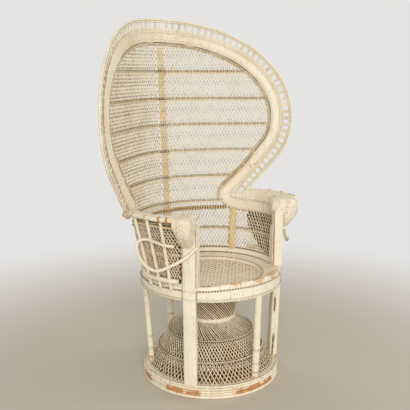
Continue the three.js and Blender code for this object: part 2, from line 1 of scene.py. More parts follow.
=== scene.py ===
import math
import bpy
import numpy as np
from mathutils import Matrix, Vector


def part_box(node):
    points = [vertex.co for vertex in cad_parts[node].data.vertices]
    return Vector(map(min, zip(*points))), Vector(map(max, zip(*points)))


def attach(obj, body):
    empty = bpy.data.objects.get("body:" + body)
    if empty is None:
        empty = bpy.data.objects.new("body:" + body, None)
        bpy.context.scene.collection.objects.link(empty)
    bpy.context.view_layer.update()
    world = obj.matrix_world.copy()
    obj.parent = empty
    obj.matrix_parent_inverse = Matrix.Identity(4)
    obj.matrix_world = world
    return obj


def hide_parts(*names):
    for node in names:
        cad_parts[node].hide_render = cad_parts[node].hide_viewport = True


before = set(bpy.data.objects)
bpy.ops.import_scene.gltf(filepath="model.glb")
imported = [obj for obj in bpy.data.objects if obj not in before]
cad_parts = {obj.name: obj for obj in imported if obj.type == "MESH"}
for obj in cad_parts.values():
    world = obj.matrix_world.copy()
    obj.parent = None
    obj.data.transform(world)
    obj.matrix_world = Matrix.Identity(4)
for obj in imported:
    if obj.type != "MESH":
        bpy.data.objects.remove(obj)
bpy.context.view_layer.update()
chance = np.random.default_rng(11)

# The frame is in metres. The pieces are worked out in millimetres about the chair's own axis
unit = 0.001
hoopLow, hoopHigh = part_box("floor_hoop")
axisShift = np.array([0, (hoopLow[1] + hoopHigh[1]) / 2 / unit, 0])
upward = np.array([0, 0, 1.0])


def levels(node):
    low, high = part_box(node)
    return low[2] / unit, high[2] / unit


def reach(node):
    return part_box(node)[1][0] / unit


def srgb(red, green, blue):
    parts = np.array([red, green, blue]) / 255
    linear = np.where(parts <= 0.04045, parts / 12.92, ((parts + 0.055) / 1.055) ** 2.4)
    return (*linear, 1.0)


def smooth(x, low, high):
    t = np.clip((x - low) / (high - low), 0, 1)
    return t * t * (3 - 2 * t)


def unitVector(v):
    return v / np.maximum(np.linalg.norm(v, axis=-1, keepdims=True), 1e-9)


# Angles are in degrees from the front of the chair towards the sitter's left
def polar(angle, radius, z):
    turn = np.radians(angle)
    return np.stack(np.broadcast_arrays(np.sin(turn) * radius, -np.cos(turn) * radius, z * 1.0), -1)


def outwards(angle):
    return polar(angle, 1.0, 0.0)


def sideways(angle):
    return outwards(angle + 90.0)


def fromFront(angle):
    return np.abs((angle + 180) % 360 - 180)


def wander(count, size, knots):
    # gentle random drift along a strand
    return np.interp(np.linspace(0, 1, count), np.linspace(0, 1, knots), chance.normal(0, size, knots))


def roundSection(width, thickness, sides, squareness=1.0):
    # a squareness below 1 makes a flat strip with soft edges
    turn = np.arange(sides) * 2 * np.pi / sides + np.pi / sides
    across, up = (np.sign(f(turn)) * np.abs(f(turn)) ** squareness for f in (np.cos, np.sin))
    return np.stack([width / 2 * across, thickness / 2 * up], -1)


def slope(path, closed=False):
    if closed:
        return unitVector(np.roll(path, -1, 0) - np.roll(path, 1, 0))
    return unitVector(np.gradient(path, axis=0))


def frames(path, normal, closed=False):
    # directions to the side of a path and up from it
    along = slope(path, closed)
    side = unitVector(np.cross(along, normal))
    return side, np.cross(side, along)


def runLength(path, closed=False):
    steps = np.linalg.norm(np.diff(path, axis=0), axis=1)
    run = np.concatenate([[0], np.cumsum(steps)])
    return run, run[-1] + (np.linalg.norm(path[0] - path[-1]) if closed else 0)


def resample(path, count, closed=False):
    whole = np.vstack([path, path[:1]]) if closed else path
    run, total = runLength(whole)
    places = np.linspace(0, total, count, endpoint=not closed)
    return np.stack([np.interp(places, run, column) for column in whole.T], -1)


def curveThrough(points, count):
    # smooth curve through the points, evenly spaced
    p = np.vstack([2 * points[0] - points[1], points, 2 * points[-1] - points[-2]])
    t = np.linspace(0, 1, 24, endpoint=False)[:, None]
    spans = []
    for a, b, c, d in zip(p[:-3], p[1:-2], p[2:-1], p[3:]):
        bend = (2 * a - 5 * b + 4 * c - d) * t**2 + (3 * b - a - 3 * c + d) * t**3
        spans.append(0.5 * (2 * b + (c - a) * t + bend))
    return resample(np.vstack(spans + [points[-1:]]), count)


class Bundle:
    # Collects swept strands and makes them into one mesh. The first mark is paint against grime and painted shade, tone
    # the warmth of the paint, wear how far it is rubbed off

    def __init__(self):
        self.parts = []

    def grid(self, points, crest=1.0, tone=0.0, wear=0.0, closed=False):
        marks = [np.broadcast_to(np.asarray(v, float), points.shape[:2]) for v in (crest, tone, wear)]
        self.parts.append((points, marks, closed))

    def sweep(self, path, normal, section, crest=1.0, tone=0.0, wear=0.0, closed=False, grow=1.0):
        side, up = frames(path, normal, closed)
        size = np.broadcast_to(np.asarray(grow, float), (len(path),))[:, None, None]
        points = path[:, None] + size * (side[:, None] * section[None, :, :1] + up[:, None] * section[None, :, 1:])
        self.grid(points, crest, tone, wear, closed)

    def mesh(self, name):
        margin = 0.08  # between the strands in the texture space
        verts, loops, starts, uvs, caps = [], [], [], [], []
        marks = [[], [], []]
        base, place, rows = 0, 0, len(self.parts)
        for row, (points, values, closed) in enumerate(self.parts):
            n, m = points.shape[:2]
            spots = points.reshape(-1, 3)
            index = base + np.arange(n * m).reshape(n, m)
            thisRow = index if closed else index[:-1]
            nextRow = np.roll(index, -1, 0) if closed else index[1:]
            quads = np.stack([thisRow, np.roll(thisRow, -1, 1), np.roll(nextRow, -1, 1), nextRow], -1)
            a, b, c, d = (spots[quads[..., k] - base] - spots.mean(0) for k in range(4))
            volume = np.einsum("ijk,ijk->", a, np.cross(b, c) + np.cross(c, d))
            i, j = np.meshgrid(np.arange(len(quads)), np.arange(m), indexing="ij")
            u = np.stack([i, i, i + 1, i + 1], -1) / len(quads)
            v = (row + margin + (1 - 2 * margin) * np.stack([j, j + 1, j + 1, j], -1) / m) / rows
            uv = np.stack([u, v], -1)
            if volume < 0:
                quads, uv = quads[..., ::-1], uv[:, :, ::-1]
            verts.append(spots)
            loops.append(quads.reshape(-1))
            uvs.append(uv.reshape(-1, 2))
            starts.append(place + 4 * np.arange(len(quads) * m))
            caps.append(np.zeros(len(quads) * m, bool))
            place += quads.size
            turn = np.arange(m) * 2 * np.pi / m
            for end, at in () if closed else ((index[0][::-1], 0.001), (index[-1], 0.999)):
                loops.append(end if volume > 0 else end[::-1])
                uvs.append(np.stack([at + 0.0008 * np.cos(turn), (row + 0.5 + 0.3 * np.sin(turn)) / rows], -1))
                starts.append(np.array([place]))
                caps.append(np.ones(1, bool))
                place += m
            for column, value in zip(marks, values):
                column.append(value.reshape(-1))
            base += n * m
        mesh = bpy.data.meshes.new(name)
        mesh.vertices.add(base)
        mesh.vertices.foreach_set("co", ((np.vstack(verts) + axisShift) * unit).ravel())
        mesh.loops.add(place)
        mesh.loops.foreach_set("vertex_index", np.concatenate(loops).astype(np.int32))
        starts = np.concatenate(starts)
        mesh.polygons.add(len(starts))
        mesh.polygons.foreach_set("loop_start", starts.astype(np.int32))
        mesh.polygons.foreach_set("use_smooth", ~np.concatenate(caps))
        mesh.update(calc_edges=True)
        layer = mesh.uv_layers.new(name="OFBake")
        layer.uv.foreach_set("vector", np.vstack(uvs).astype(np.float32).ravel())
        for key, column in zip(("crest", "tone", "wear"), marks):
            spot = mesh.attributes.new(key, "FLOAT", "POINT")
            spot.data.foreach_set("value", np.concatenate(column).astype(np.float32))
        return mesh


def addPiece(label, bundle, material, node=None):
    # label names the piece in words, and the node that it replaces unless node says otherwise. Trim has an empty node
    name = label[0] + label.title().replace("_", "")[1:]
    node = label if node is None else node
    piece = bpy.data.objects.new(name, bundle.mesh(name))
    bpy.context.collection.objects.link(piece)
    piece.data.materials.append(material)
    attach(piece, "root")
    if node:
        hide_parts(node)


# Shader groups

def newGroup(name, inputs, outputs):
    tree = bpy.data.node_groups.new(name, "ShaderNodeTree")
    for label, kind, value in inputs:
        socket = tree.interface.new_socket(label, in_out="INPUT", socket_type="NodeSocket" + kind)
        socket.default_value = value
    for label, kind in outputs:
        tree.interface.new_socket(label, in_out="OUTPUT", socket_type="NodeSocket" + kind)
    return tree, tree.nodes.new("NodeGroupInput"), tree.nodes.new("NodeGroupOutput")


def feed(tree, socket, value):
    # a constant is set on the socket, anything else is linked to it
    if isinstance(value, (int, float, tuple)):
        socket.default_value = value
    else:
        tree.links.new(value, socket)


def mathNode(tree, kind, *values, clamp=False):
    node = tree.nodes.new("ShaderNodeMath")
    node.operation = kind
    node.use_clamp = clamp
    for socket, value in zip(node.inputs, values):
        feed(tree, socket, value)
    return node.outputs[0]


def stepNode(tree, value, low, high):
    node = tree.nodes.new("ShaderNodeMapRange")
    node.interpolation_type = "SMOOTHSTEP"
    for label, setting in (("Value", value), ("From Min", low), ("From Max", high)):
        feed(tree, node.inputs[label], setting)
    return node.outputs["Result"]


def mixNode(tree, factor, first, second, kind="MIX"):
    node = tree.nodes.new("ShaderNodeMix")
    node.data_type = "RGBA"
    node.blend_type = kind
    for label, sort, value in (("Factor", "VALUE", factor), ("A", "RGBA", first), ("B", "RGBA", second)):
        feed(tree, next(s for s in node.inputs if s.name == label and s.type == sort), value)
    return next(s for s in node.outputs if s.type == "RGBA")


def stretchNode(tree, place, scale):
    node = tree.nodes.new("ShaderNodeMapping")
    node.inputs["Scale"].default_value = scale
    tree.links.new(place, node.inputs["Vector"])
    return node.outputs["Vector"]


def noiseNode(tree, place, scale, detail):
    node = tree.nodes.new("ShaderNodeTexNoise")
    node.inputs["Detail"].default_value = detail
    node.inputs["Scale"].default_value = scale
    tree.links.new(place, node.inputs["Vector"])
    return node.outputs[0]


def makeAgedPaint():
    # Old brush paint on cane: grime and painted shade in the hollows, hairline cracks, chips and rubbed places down to
    # the bare cane
    grain = {"broad": 9.0, "fine": 75.0, "grit": 420.0, "upright": 60.0, "cracks": 130.0, "specks": 190.0,
             "crackBend": 0.012, "warm": srgb(222, 193, 144)}
    colors = (("Paint", "Color", (0.8, 0.8, 0.8, 1)), ("Dirt_and_shade", "Color", (0.1, 0.1, 0.1, 1)),
              ("Bare", "Color", (0.3, 0.2, 0.1, 1)))
    amounts = (("Crest", 1.0), ("Tone", 0.0), ("Wear", 0.0), ("Mottle", 0.3), ("Cracks", 0.3), ("Chips", 0.2),
               ("Specks", 0.2), ("Gloss", 0.5))
    tree, given, result = newGroup("agedPaint", (*colors, *((label, "Float", value) for label, value in amounts)),
                                   (("Color", "Color"), ("Roughness", "Float"), ("Height", "Float")))
    socket = given.outputs

    def calc(kind, *values, clamp=False):
        return mathNode(tree, kind, *values, clamp=clamp)

    def scaled(value, size, plus):
        return calc("MULTIPLY_ADD", value, size, plus)

    def step(value, low, high):
        return stepNode(tree, value, low, high)

    def blend(factor, first, second, kind="MIX"):
        return mixNode(tree, factor, first, second, kind)

    place = tree.nodes.new("ShaderNodeTexCoord").outputs["Object"]
    broad = noiseNode(tree, place, grain["broad"], 2.0)
    fine = noiseNode(tree, place, grain["fine"], 4.0)
    grit = noiseNode(tree, place, grain["grit"], 2.0)
    upright = noiseNode(tree, stretchNode(tree, place, (1.0, 1.0, 0.12)), grain["upright"], 3.0)

    shade = scaled(broad, 1.1, -0.55)
    shade = scaled(fine, 0.5, calc("ADD", shade, -0.25))
    shade = calc("SUBTRACT", calc("MULTIPLY", shade, socket["Mottle"]), socket["Tone"])
    warm = blend(1.0, socket["Paint"], grain["warm"], "MULTIPLY")
    pale = blend(step(shade, -0.5, 0.12), warm, socket["Paint"])

    # where the first mark is low, the grime colour stands for grime and for painted shade
    hollow = scaled(fine, 0.5, calc("ADD", socket["Crest"], -0.25))
    pale = blend(step(hollow, 0.05, 0.62), socket["Dirt_and_shade"], pale)

    cells = tree.nodes.new("ShaderNodeTexVoronoi")
    cells.feature = "DISTANCE_TO_EDGE"
    cells.inputs["Scale"].default_value = grain["cracks"]
    bent = tree.nodes.new("ShaderNodeVectorMath")
    bent.operation = "MULTIPLY_ADD"
    tree.links.new(fine, bent.inputs[0])
    bent.inputs[1].default_value = (grain["crackBend"],) * 3
    tree.links.new(place, bent.inputs[2])
    tree.links.new(stretchNode(tree, bent.outputs[0], (1.0, 1.0, 0.3)), cells.inputs["Vector"])
    hairline = calc("SUBTRACT", 1.0, step(cells.outputs["Distance"], 0.015, 0.06))
    least = calc("SUBTRACT", 0.78, calc("MULTIPLY", socket["Cracks"], 0.5))
    crack = calc("MULTIPLY", hairline, step(upright, least, 0.86))
    pale = blend(crack, pale, socket["Dirt_and_shade"])

    speck = scaled(noiseNode(tree, place, grain["specks"], 1.0), 0.8, calc("MULTIPLY", broad, 0.2))
    speck = step(scaled(socket["Specks"], 0.1, speck), 0.68, 0.72)
    pale = blend(speck, pale, socket["Dirt_and_shade"])

    chip = scaled(grit, 0.35, calc("MULTIPLY", fine, 0.65))
    chip = scaled(socket["Chips"], 0.14, scaled(socket["Wear"], 0.75, chip))
    bare = step(chip, 0.69, 0.76)
    timber = blend(step(upright, 0.3, 0.7), socket["Bare"], socket["Dirt_and_shade"])
    timber = blend(0.72, timber, socket["Bare"])
    tree.links.new(blend(bare, pale, timber), result.inputs["Color"])

    rough = scaled(fine, 0.3, calc("ADD", socket["Gloss"], -0.15))
    tree.links.new(calc("MULTIPLY_ADD", bare, 0.12, rough, clamp=True), result.inputs["Roughness"])
    height = scaled(upright, 0.5, calc("MULTIPLY", fine, 0.5))
    tree.links.new(scaled(bare, -0.5, scaled(crack, -0.6, height)), result.inputs["Height"])
    return tree


agedPaint = makeAgedPaint()


def makeMaterial(name, look):
    material = bpy.data.materials.new(name)
    material.use_nodes = True
    tree = material.node_tree
    tree.nodes.clear()
    shader = tree.nodes.new("ShaderNodeBsdfPrincipled")
    output = tree.nodes.new("ShaderNodeOutputMaterial")
    tree.links.new(shader.outputs["BSDF"], output.inputs["Surface"])
    group = tree.nodes.new("ShaderNodeGroup")
    group.node_tree = agedPaint
    for label in ("Paint", "Dirt_and_shade", "Bare", "Mottle", "Cracks", "Chips", "Specks", "Gloss"):
        group.inputs[label].default_value = look[label.lower()]
    for label in ("Crest", "Tone", "Wear"):
        mark = tree.nodes.new("ShaderNodeAttribute")
        mark.attribute_name = label.lower()
        tree.links.new(mark.outputs["Fac"], group.inputs[label])
    bump = tree.nodes.new("ShaderNodeBump")
    bump.inputs["Strength"].default_value = look["bump"]
    bump.inputs["Distance"].default_value = look["relief"]
    tree.links.new(group.outputs["Height"], bump.inputs["Height"])
    tree.links.new(group.outputs["Color"], shader.inputs["Base Color"])
    tree.links.new(group.outputs["Roughness"], shader.inputs["Roughness"])
    tree.links.new(bump.outputs["Normal"], shader.inputs["Normal"])
    shader.inputs["Specular IOR Level"].default_value = look["sheen"]
    return material


# The first look is the plain one, and each of the others says where it differs
looks = {
    "paintedCane": {"paint": srgb(244, 234, 210), "dirt_and_shade": srgb(80, 55, 27), "bare": srgb(224, 184, 138), "mottle": 0.35,
                    "cracks": 0.55, "chips": 0.2, "specks": 0.0, "gloss": 0.5, "bump": 0.35, "sheen": 0.22,
                    "relief": 0.0012},
    "weatheredCane": {"bare": srgb(206, 150, 98), "mottle": 0.5, "cracks": 0.6, "chips": 0.3, "specks": 0.42,
                      "gloss": 0.52, "bump": 0.4, "sheen": 0.2},
    "latticeCane": {"paint": srgb(244, 231, 203), "mottle": 0.4, "cracks": 0.2, "chips": 0.1, "gloss": 0.52,
                    "bump": 0.3, "sheen": 0.1},
    "goldenCane": {"paint": srgb(225, 203, 154), "dirt_and_shade": srgb(108, 78, 42), "mottle": 0.6, "cracks": 0.2,
                   "sheen": 0.35},
    "shadedCane": {"paint": srgb(116, 84, 44), "dirt_and_shade": srgb(48, 32, 14), "bare": srgb(150, 114, 68), "mottle": 0.8,
                   "cracks": 0.2, "gloss": 0.6, "sheen": 0.05},
    "bareRattan": {"paint": srgb(214, 168, 112), "dirt_and_shade": srgb(98, 66, 36), "mottle": 0.8, "cracks": 0.3, "chips": 0.3,
                   "sheen": 0.35},
}
painted, weathered, lattice, golden, shaded, bareRattan = (
    makeMaterial(name, {**looks["paintedCane"], **look}) for name, look in looks.items())
print("materials ready")


# Rings, rods and ropes

def allRound(count):
    return np.arange(count) * 360 / count


def ringPath(radius, z, count):
    angle = allRound(count)
    return polar(angle, radius, z), outwards(angle), angle


def edgeNormals(outline):
    # which way a closed flat outline faces along its edge
    along = np.gradient(np.vstack([outline, outline[:1]]), axis=0)[:-1]
    return unitVector(np.stack([along[:, 1], -along[:, 0]], -1))


def turnedRing(profile, count, swell=None):
    # closed profile of radius and height, carried round the axis. swell is how far it stands out at each step
    angle = allRound(count)
    points = polar(angle[:, None], profile[None, :, 0], profile[None, :, 1])
    if swell is not None:
        normal = edgeNormals(profile)
        away = polar(angle[:, None], normal[None, :, 0], 0.0) + upward * normal[None, :, 1, None]
        points = points + swell[:, None, None] * away
    return points, angle


def roundedProfile(points, size, steps=5):
    # closed polygon of radius and height with its corners rounded off
    out = []
    p = np.array(points, float)
    for before, at, after in zip(np.roll(p, 1, 0), p, np.roll(p, -1, 0)):
        room = min(size, np.linalg.norm(before - at) * 0.45, np.linalg.norm(after - at) * 0.45)
        a = at + unitVector(before - at) * room
        b = at + unitVector(after - at) * room
        for t in np.linspace(0, 1, steps):
            out.append((1 - t) ** 2 * a + 2 * t * (1 - t) * at + t**2 * b)
    return np.array(out)


def denser(profile, spacing):
    count = max(int(runLength(profile, True)[1] / spacing), 12)
    return resample(profile, count, closed=True)


def boxProfile(inner, outer, low, high, size, spacing):
    return denser(roundedProfile([(inner, low), (outer, low), (outer, high), (inner, high)], size), spacing)


def wrapMarks(count, turns, depth):
    # flat cane wound round a core: a shallow groove between the turns
    place = (np.arange(count) * turns / count) % 1
    ridge = np.abs(np.sin(np.pi * place)) ** 0.35
    # some turns have come apart and show the dark core
    apart = (chance.random(turns) < 0.09)[np.arange(count) * turns // count]
    return depth * (ridge - 1), 0.25 + 0.75 * ridge - 1.3 * apart * (1 - ridge)


def woundRing(profile, outer, wrap, depth):
    turns = round(2 * math.pi * outer / wrap)
    groove, mark = wrapMarks(turns * 4, turns, depth)
    points, angle = turnedRing(profile, turns * 4, groove)
    return points, angle, (0.6 + 0.4 * mark)[:, None]


def wornSpots(angle, spots):
    # each spot is an angle and how far it reaches
    return sum(np.exp(-(((angle - at + 180) % 360 - 180) / wide) ** 4) for at, wide in spots)


def rod(bundle, path, normal, size, tone=0.0, sides=8, least=1.0, deep=None, wear=0.0, grow=1.0, paintAndLight=1.0):
    # round cane, or flatter where deep is given. Its two sides are darkened as painted shade, and least is how light
    # they stay
    section = roundSection(size, deep or size, sides)
    crest = least + (1 - least) * smooth(1 - np.abs(section[None, :, 0]) / (size / 2), 0.02, 0.5)
    bundle.sweep(path, normal, section, paintAndLight * crest, tone, wear, grow=grow)


def rope(bundle, path, normal, size, strandSize, pitch, strands=2, flat=1.0, tone=0.0, closed=False, lay=1, sides=7,
         dark=0.0, shadeDots=0.0, paintAndLight=1.0):
    # strands twisted round a path; the dictionaries give a cord as its size, its strand and its pitch. The faces turned
    # to the middle get painted shade, and a dotted painted shade darkens the strands where they turn round the rope's
    # edges
    side, up = frames(path, normal, closed)
    run, total = runLength(path, closed)
    turns = max(round(total / pitch), 1) if closed else total / pitch
    section = roundSection(strandSize, strandSize, sides)
    for k in range(strands):
        phase = lay * 2 * np.pi * run / total * turns + 2 * np.pi * k / strands
        swing = side * np.cos(phase)[:, None] + up * np.sin(phase)[:, None] * flat
        centre = path + swing * (size - strandSize) / 2
        sideK, upK = frames(centre, normal, closed)
        points = centre[:, None] + sideK[:, None] * section[None, :, :1] + upK[:, None] * section[None, :, 1:]
        off = points - path[:, None]
        away = np.hypot((off * side[:, None]).sum(-1), (off * up[:, None]).sum(-1) / flat)
        crest = dark + (1 - dark) * smooth(away, size * 0.22, size * 0.46)
        crest = paintAndLight * crest * (1 - shadeDots * (1 - smooth(np.abs(np.sin(phase)), 0.5, 0.92)))[:, None]
        bundle.grid(points, crest, tone + chance.normal(0, 0.06), closed=closed)


# Base

def makeBase():
    base = {"hoopWidth": 24, "hoopWear": 0.2, "ringDepth": 36, "coilWear": (0.55, 0.34, 0.1, 0.03), "sway": 0.6,
            "steps": 360, "spots": ((-77, 4), (-68, 5), (-56, 6), (-17, 5), (-4, 7), (12, 8), (58, 10), (112, 7),
                                    (158, 12), (-108, 10), (-146, 6))}
    low, high = levels("floor_hoop")
    outer = reach("floor_hoop")
    profile = boxProfile(outer - base["hoopWidth"], outer, low, high, 5, 2.6)
    points, angle = turnedRing(profile, base["steps"])
    worn = wornSpots(angle, base["spots"])[:, None]
    bundle = Bundle()
    bundle.grid(points, wear=base["hoopWear"] * smooth(profile[None, :, 1], high * 0.55, high) * worn, closed=True)
    addPiece("floor_hoop", bundle, painted)

    # base ring: coils of thick cane laid one on another
    low, high = levels("base_ring")
    outer = reach("base_ring")
    coils = len(base["coilWear"])
    coil = (high - low) / coils
    bundle = Bundle()
    body = boxProfile(outer - base["ringDepth"], outer - coil * 0.5, low + 1, high - 2, 4, 4)
    # painted shade: the core behind the coils is darker, and so are the coils' sides and undersides where they meet
    bundle.grid(turnedRing(body, base["steps"])[0], 0.75, 0.1, closed=True)
    section = roundSection(coil * 1.03, coil * 1.06, 16)
    crest = np.where(section[:, 1] > 0, smooth(1 - np.abs(section[:, 0]) / (coil * 0.515), -0.06, 0.3), 0.6)
    for k, wear in enumerate(base["coilWear"]):
        path, away, angle = ringPath(outer - coil * 0.53, low + coil * (k + 0.5), base["steps"])
        if 0 < k < coils - 1:
            path[:, 2] += base["sway"] * np.sin(np.radians(angle) * (3 + k) + k)
        bundle.sweep(path, away, section, crest[None, :], 0.04, wear * worn, closed=True)
    addPiece("base_ring", bundle, weathered)


def tierStrands(bundles, profile, splits, strand, tone):
    # two crossing families on a surface of revolution, the second outside the first. profile is radius and height
    # from foot to top, and each strand is shared out between the bundles at the heights in splits
    run, total = runLength(profile)
    steps = max(int(total / strand["step"]), 8)
    places = np.linspace(0, total, steps)
    radius = np.interp(places, run, profile[:, 0])
    z = np.interp(places, run, profile[:, 1])
    cuts = [0, *np.searchsorted(z, splits), steps - 1]
    turn = np.gradient(places) * strand["turn"] / np.maximum(radius, profile[:, 0].mean() * 0.6)
    turn = np.degrees(np.cumsum(turn))
    turn -= turn[0]
    along = np.stack([np.gradient(radius), np.gradient(z)], -1)
    along /= np.linalg.norm(along, axis=1, keepdims=True)
    # the side of a strand that faces in is darker, as bare cane and as painted shade, and its edges carry painted shade
    section = roundSection(strand["width"], strand["thickness"], strand["sides"])
    face = 0.04 + 0.96 * smooth(section[None, :, 1] / np.abs(section[:, 1]).max(), -0.7, 0.35)
    face = face * (1 - 0.6 * np.abs(section[None, :, 0] / section[:, 0].max()) ** 3)
    pitch = 360 / strand["count"]
    for sign in (1, -1):
        for k in range(strand["count"]):
            start = (k + 0.5 * (sign < 0)) * pitch + chance.normal(0, strand["loose"]) * pitch
            angle = start + sign * turn + wander(steps, 0.05 * pitch, 5)
            over = sign * np.cos(np.pi * (2 * turn / pitch + 0.5 * (sign < 0) + k))
            off = strand["thickness"] * (0.14 * over - 0.43 * sign)
            path = polar(angle, radius + off * along[:, 1], z - off * along[:, 0])
            normal = polar(angle, along[:, 1], -along[:, 0])
            # the rear family, and each strand where it passes under, are darkened as painted shade
            crest = (strand["rear"] + 0.2 * over) if sign > 0 else (0.92 + 0.08 * over)
            mood = tone + chance.normal(0, 0.07) + 0.05 * (sign > 0)
            for bundle, first, last in zip(bundles, cuts[:-1], cuts[1:]):
                part = slice(first, last + 1)
                bundle.sweep(path[part], normal[part], section, crest[part, None] * face, mood)


def makeBasket():
    basket = {"footRadius": 273, "lining": 7.5, "liningCane": 9.5, "liningRow": 8.5, "ripple": 0.9, "ropePitch": 16.0,
              "hoopGroove": 0.35}
    skirt = {"count": 96, "width": 4.3, "thickness": 3.0, "sides": 7, "step": 4.2, "loose": 0.05, "turn": 0.54,
             "rear": 0.8}
    shoulderCane = {"count": 96, "width": 4.5, "thickness": 2.8, "sides": 6, "step": 4.0, "loose": 0.04, "turn": 0.6,
                    "rear": 0.45}
    flareCane = {"count": 64, "width": 4.7, "thickness": 3.0, "sides": 7, "step": 4.0, "loose": 0.04, "turn": 0.85,
                 "rear": 0.1}
    ringTop = levels("base_ring")[1]
    mid, shoulder, waist, flareTop = map(levels, ("skirt_mid_braid", "shoulder_hoop", "waist_hoop", "flare_top_hoop"))
    midRadius, shoulderRadius, waistRadius, flareRadius = map(
        reach, ("skirt_mid_braid", "shoulder_hoop", "waist_hoop", "flare_top_hoop"))
    wall = 4
    # nodes, strand, tone, and the tier's outline as radius and height
    tiers = (
        (("skirt_lower_weave", "skirt_upper_weave"), skirt, 0.1,
         ((basket["footRadius"], ringTop - 8), (midRadius - 2 * wall, sum(mid) / 2),
          (shoulderRadius - 2 * wall, shoulder[0] + 5))),
        (("shoulder_weave",), shoulderCane, 0.06,
         ((shoulderRadius - wall, shoulder[1] - 5), (shoulderRadius * 0.8, shoulder[1] + 16),
          (waistRadius * 1.18, waist[0] - 12), (waistRadius - 2 * wall, waist[0] + 3))),
        (("flare_weave",), flareCane, 0.12,
         ((waistRadius - 2 * wall, waist[1] - 3), (waistRadius * 1.02, waist[1] + 38),
          (waistRadius * 1.16, waist[1] + 88), (flareRadius - 2 * wall, flareTop[0] + 3))),
    )
    inner = Bundle()
    angle = allRound(240)
    for nodes, strand, tone, spots in tiers:
        split = len(nodes) > 1
        profile = np.array(spots, float)
        if not split:
            profile = curveThrough(profile, 40)
        bundles = [Bundle() for _ in nodes]
        tierStrands(bundles, profile, [spots[1][1]] if split else [], strand, tone)
        for node, bundle in zip(nodes, bundles):
            addPiece(node, bundle, lattice)
        # a dark layer of flat cane inside the basket, laid round in rows: painted shade that shows through the gaps
        rows = resample(profile, max(int(runLength(profile)[1] / basket["liningRow"]), 3))
        for k, ((radius, z), rise) in enumerate(zip(rows, slope(rows))):
            out, up = unitVector(np.array([rise[1], -rise[0]]))
            wave = np.cos(np.radians(angle) * strand["count"] / 2 + np.pi * k)
            ripple = basket["ripple"] * wave - basket["lining"]
            path = polar(angle, radius + ripple * out, z + ripple * up)
            section = roundSection(basket["liningCane"], 2.6, 6)
            inner.sweep(path, polar(angle, out, up), section, 0.55 + 0.45 * wave[:, None], 0.2 + chance.normal(0, 0.1),
                        closed=True)
    addPiece("basket_lining", inner, shaded, "")

    # twisted rows between the tiers, with the weave showing through. Each is a height, a size and a stand-out
    for label, node, radius, rows in (
        ("skirt_mid_braid", "skirt_mid_braid", midRadius,
         ((mid[1] + 4, 9.5, -3.4), (mid[0] + 6, 6.0, 0.0), (mid[0] - 5, 6.5, 3.6))),
        ("shoulder_braid", "shoulder_hoop", shoulderRadius,
         ((shoulder[1] - 3, 7.5, -1.5), (shoulder[0] + 1, 7.0, 1.0))),
    ):
        bundle = Bundle()
        for (z, size, out), lay in zip(rows, (1, -1, 1)):
            path, away, _ = ringPath(radius - wall + out, z, 900)
            rope(bundle, path, away, size, size * 0.56, basket["ropePitch"], closed=True, lay=lay, tone=0.05, shadeDots=0.95)
        addPiece(label, bundle, lattice, node=node)
    for node, wrap in (("waist_hoop", 6.5), ("flare_top_hoop", 7.0)):
        outer = reach(node)
        low, high = levels(node)
        tall = high - low
        profile = boxProfile(outer - tall, outer, low, high, 6, 2.6)
        points, _, crest = woundRing(profile, outer, wrap, basket["hoopGroove"])
        # the top and bottom edges are darkened as painted shade, where the hoop meets the weave
        edges = 1 - 0.45 * smooth(np.abs(profile[:, 1] - (low + high) / 2), tall * 0.4, tall * 0.5)
        bundle = Bundle()
        bundle.grid(points, crest * edges[None, :], closed=True)
        addPiece(node, bundle, painted)


makeBase()
makeBasket()
print("base done")


# Posts under the seat, and the two flat pillars that run up to the arms

pillar = {"angle": 58, "width": 56, "depth": 36, "innerRadius": 268.5, "lean": 12, "reeds": 5, "groove": 0.5,
          "squareness": 0.42, "bead": 4.2, "beads": (413.5, 446.5)}


def makePosts():
    post = {"lean": 12, "rearLean": 24, "front": 30, "rear": 25, "centre": 34, "rearAngle": 118, "paint": 1.2,
            "firstJoint": 62, "jointPitch": 104.0, "bindings": (77, 116, 172)}
    bottom, top = levels("post_front")
    steps = 240
    z = np.linspace(bottom - 1, top, steps)
    for node, angle, size, lean in (
        ("post_front", 0, post["front"], post["lean"]),
        ("post_rear_left", post["rearAngle"], post["rear"], post["rearLean"]),
        ("post_rear_right", -post["rearAngle"], post["rear"], post["rearLean"]),
        ("post_rear_centre", 180, post["centre"], post["lean"]),
    ):
        radius = pillar["innerRadius"] + size / 2 - lean * (top - z) / (top - bottom)
        path = polar(angle, radius, z) + sideways(angle) * wander(steps, 0.5, 7)[:, None]
        grow, crest = np.ones(steps), np.ones(steps)
        joints = np.arange(bottom + post["firstJoint"], top, post["jointPitch"])
        for joint in joints + chance.normal(0, 12, 4)[:len(joints)]:
            grow += 0.045 * np.exp(-((z - joint) / 5) ** 2)
            crest -= 0.7 * np.exp(-((z - joint - 3.2) / 1.6) ** 2)
        rub = 0.3 * np.exp(-((z - bottom) / 18) ** 2)
        for binding in post["bindings"]:
            crest -= 0.75 * np.exp(-((z - binding) / 1.8) ** 2)
            rub += 0.3 * np.exp(-((z - binding - 6) / 7) ** 2)
        section = roundSection(size - post["paint"], size - post["paint"], 20)
        bundle = Bundle()
        bundle.sweep(path, outwards(angle), section, crest[:, None], 0.0, rub[:, None], grow=grow)
        addPiece(node, bundle, painted)


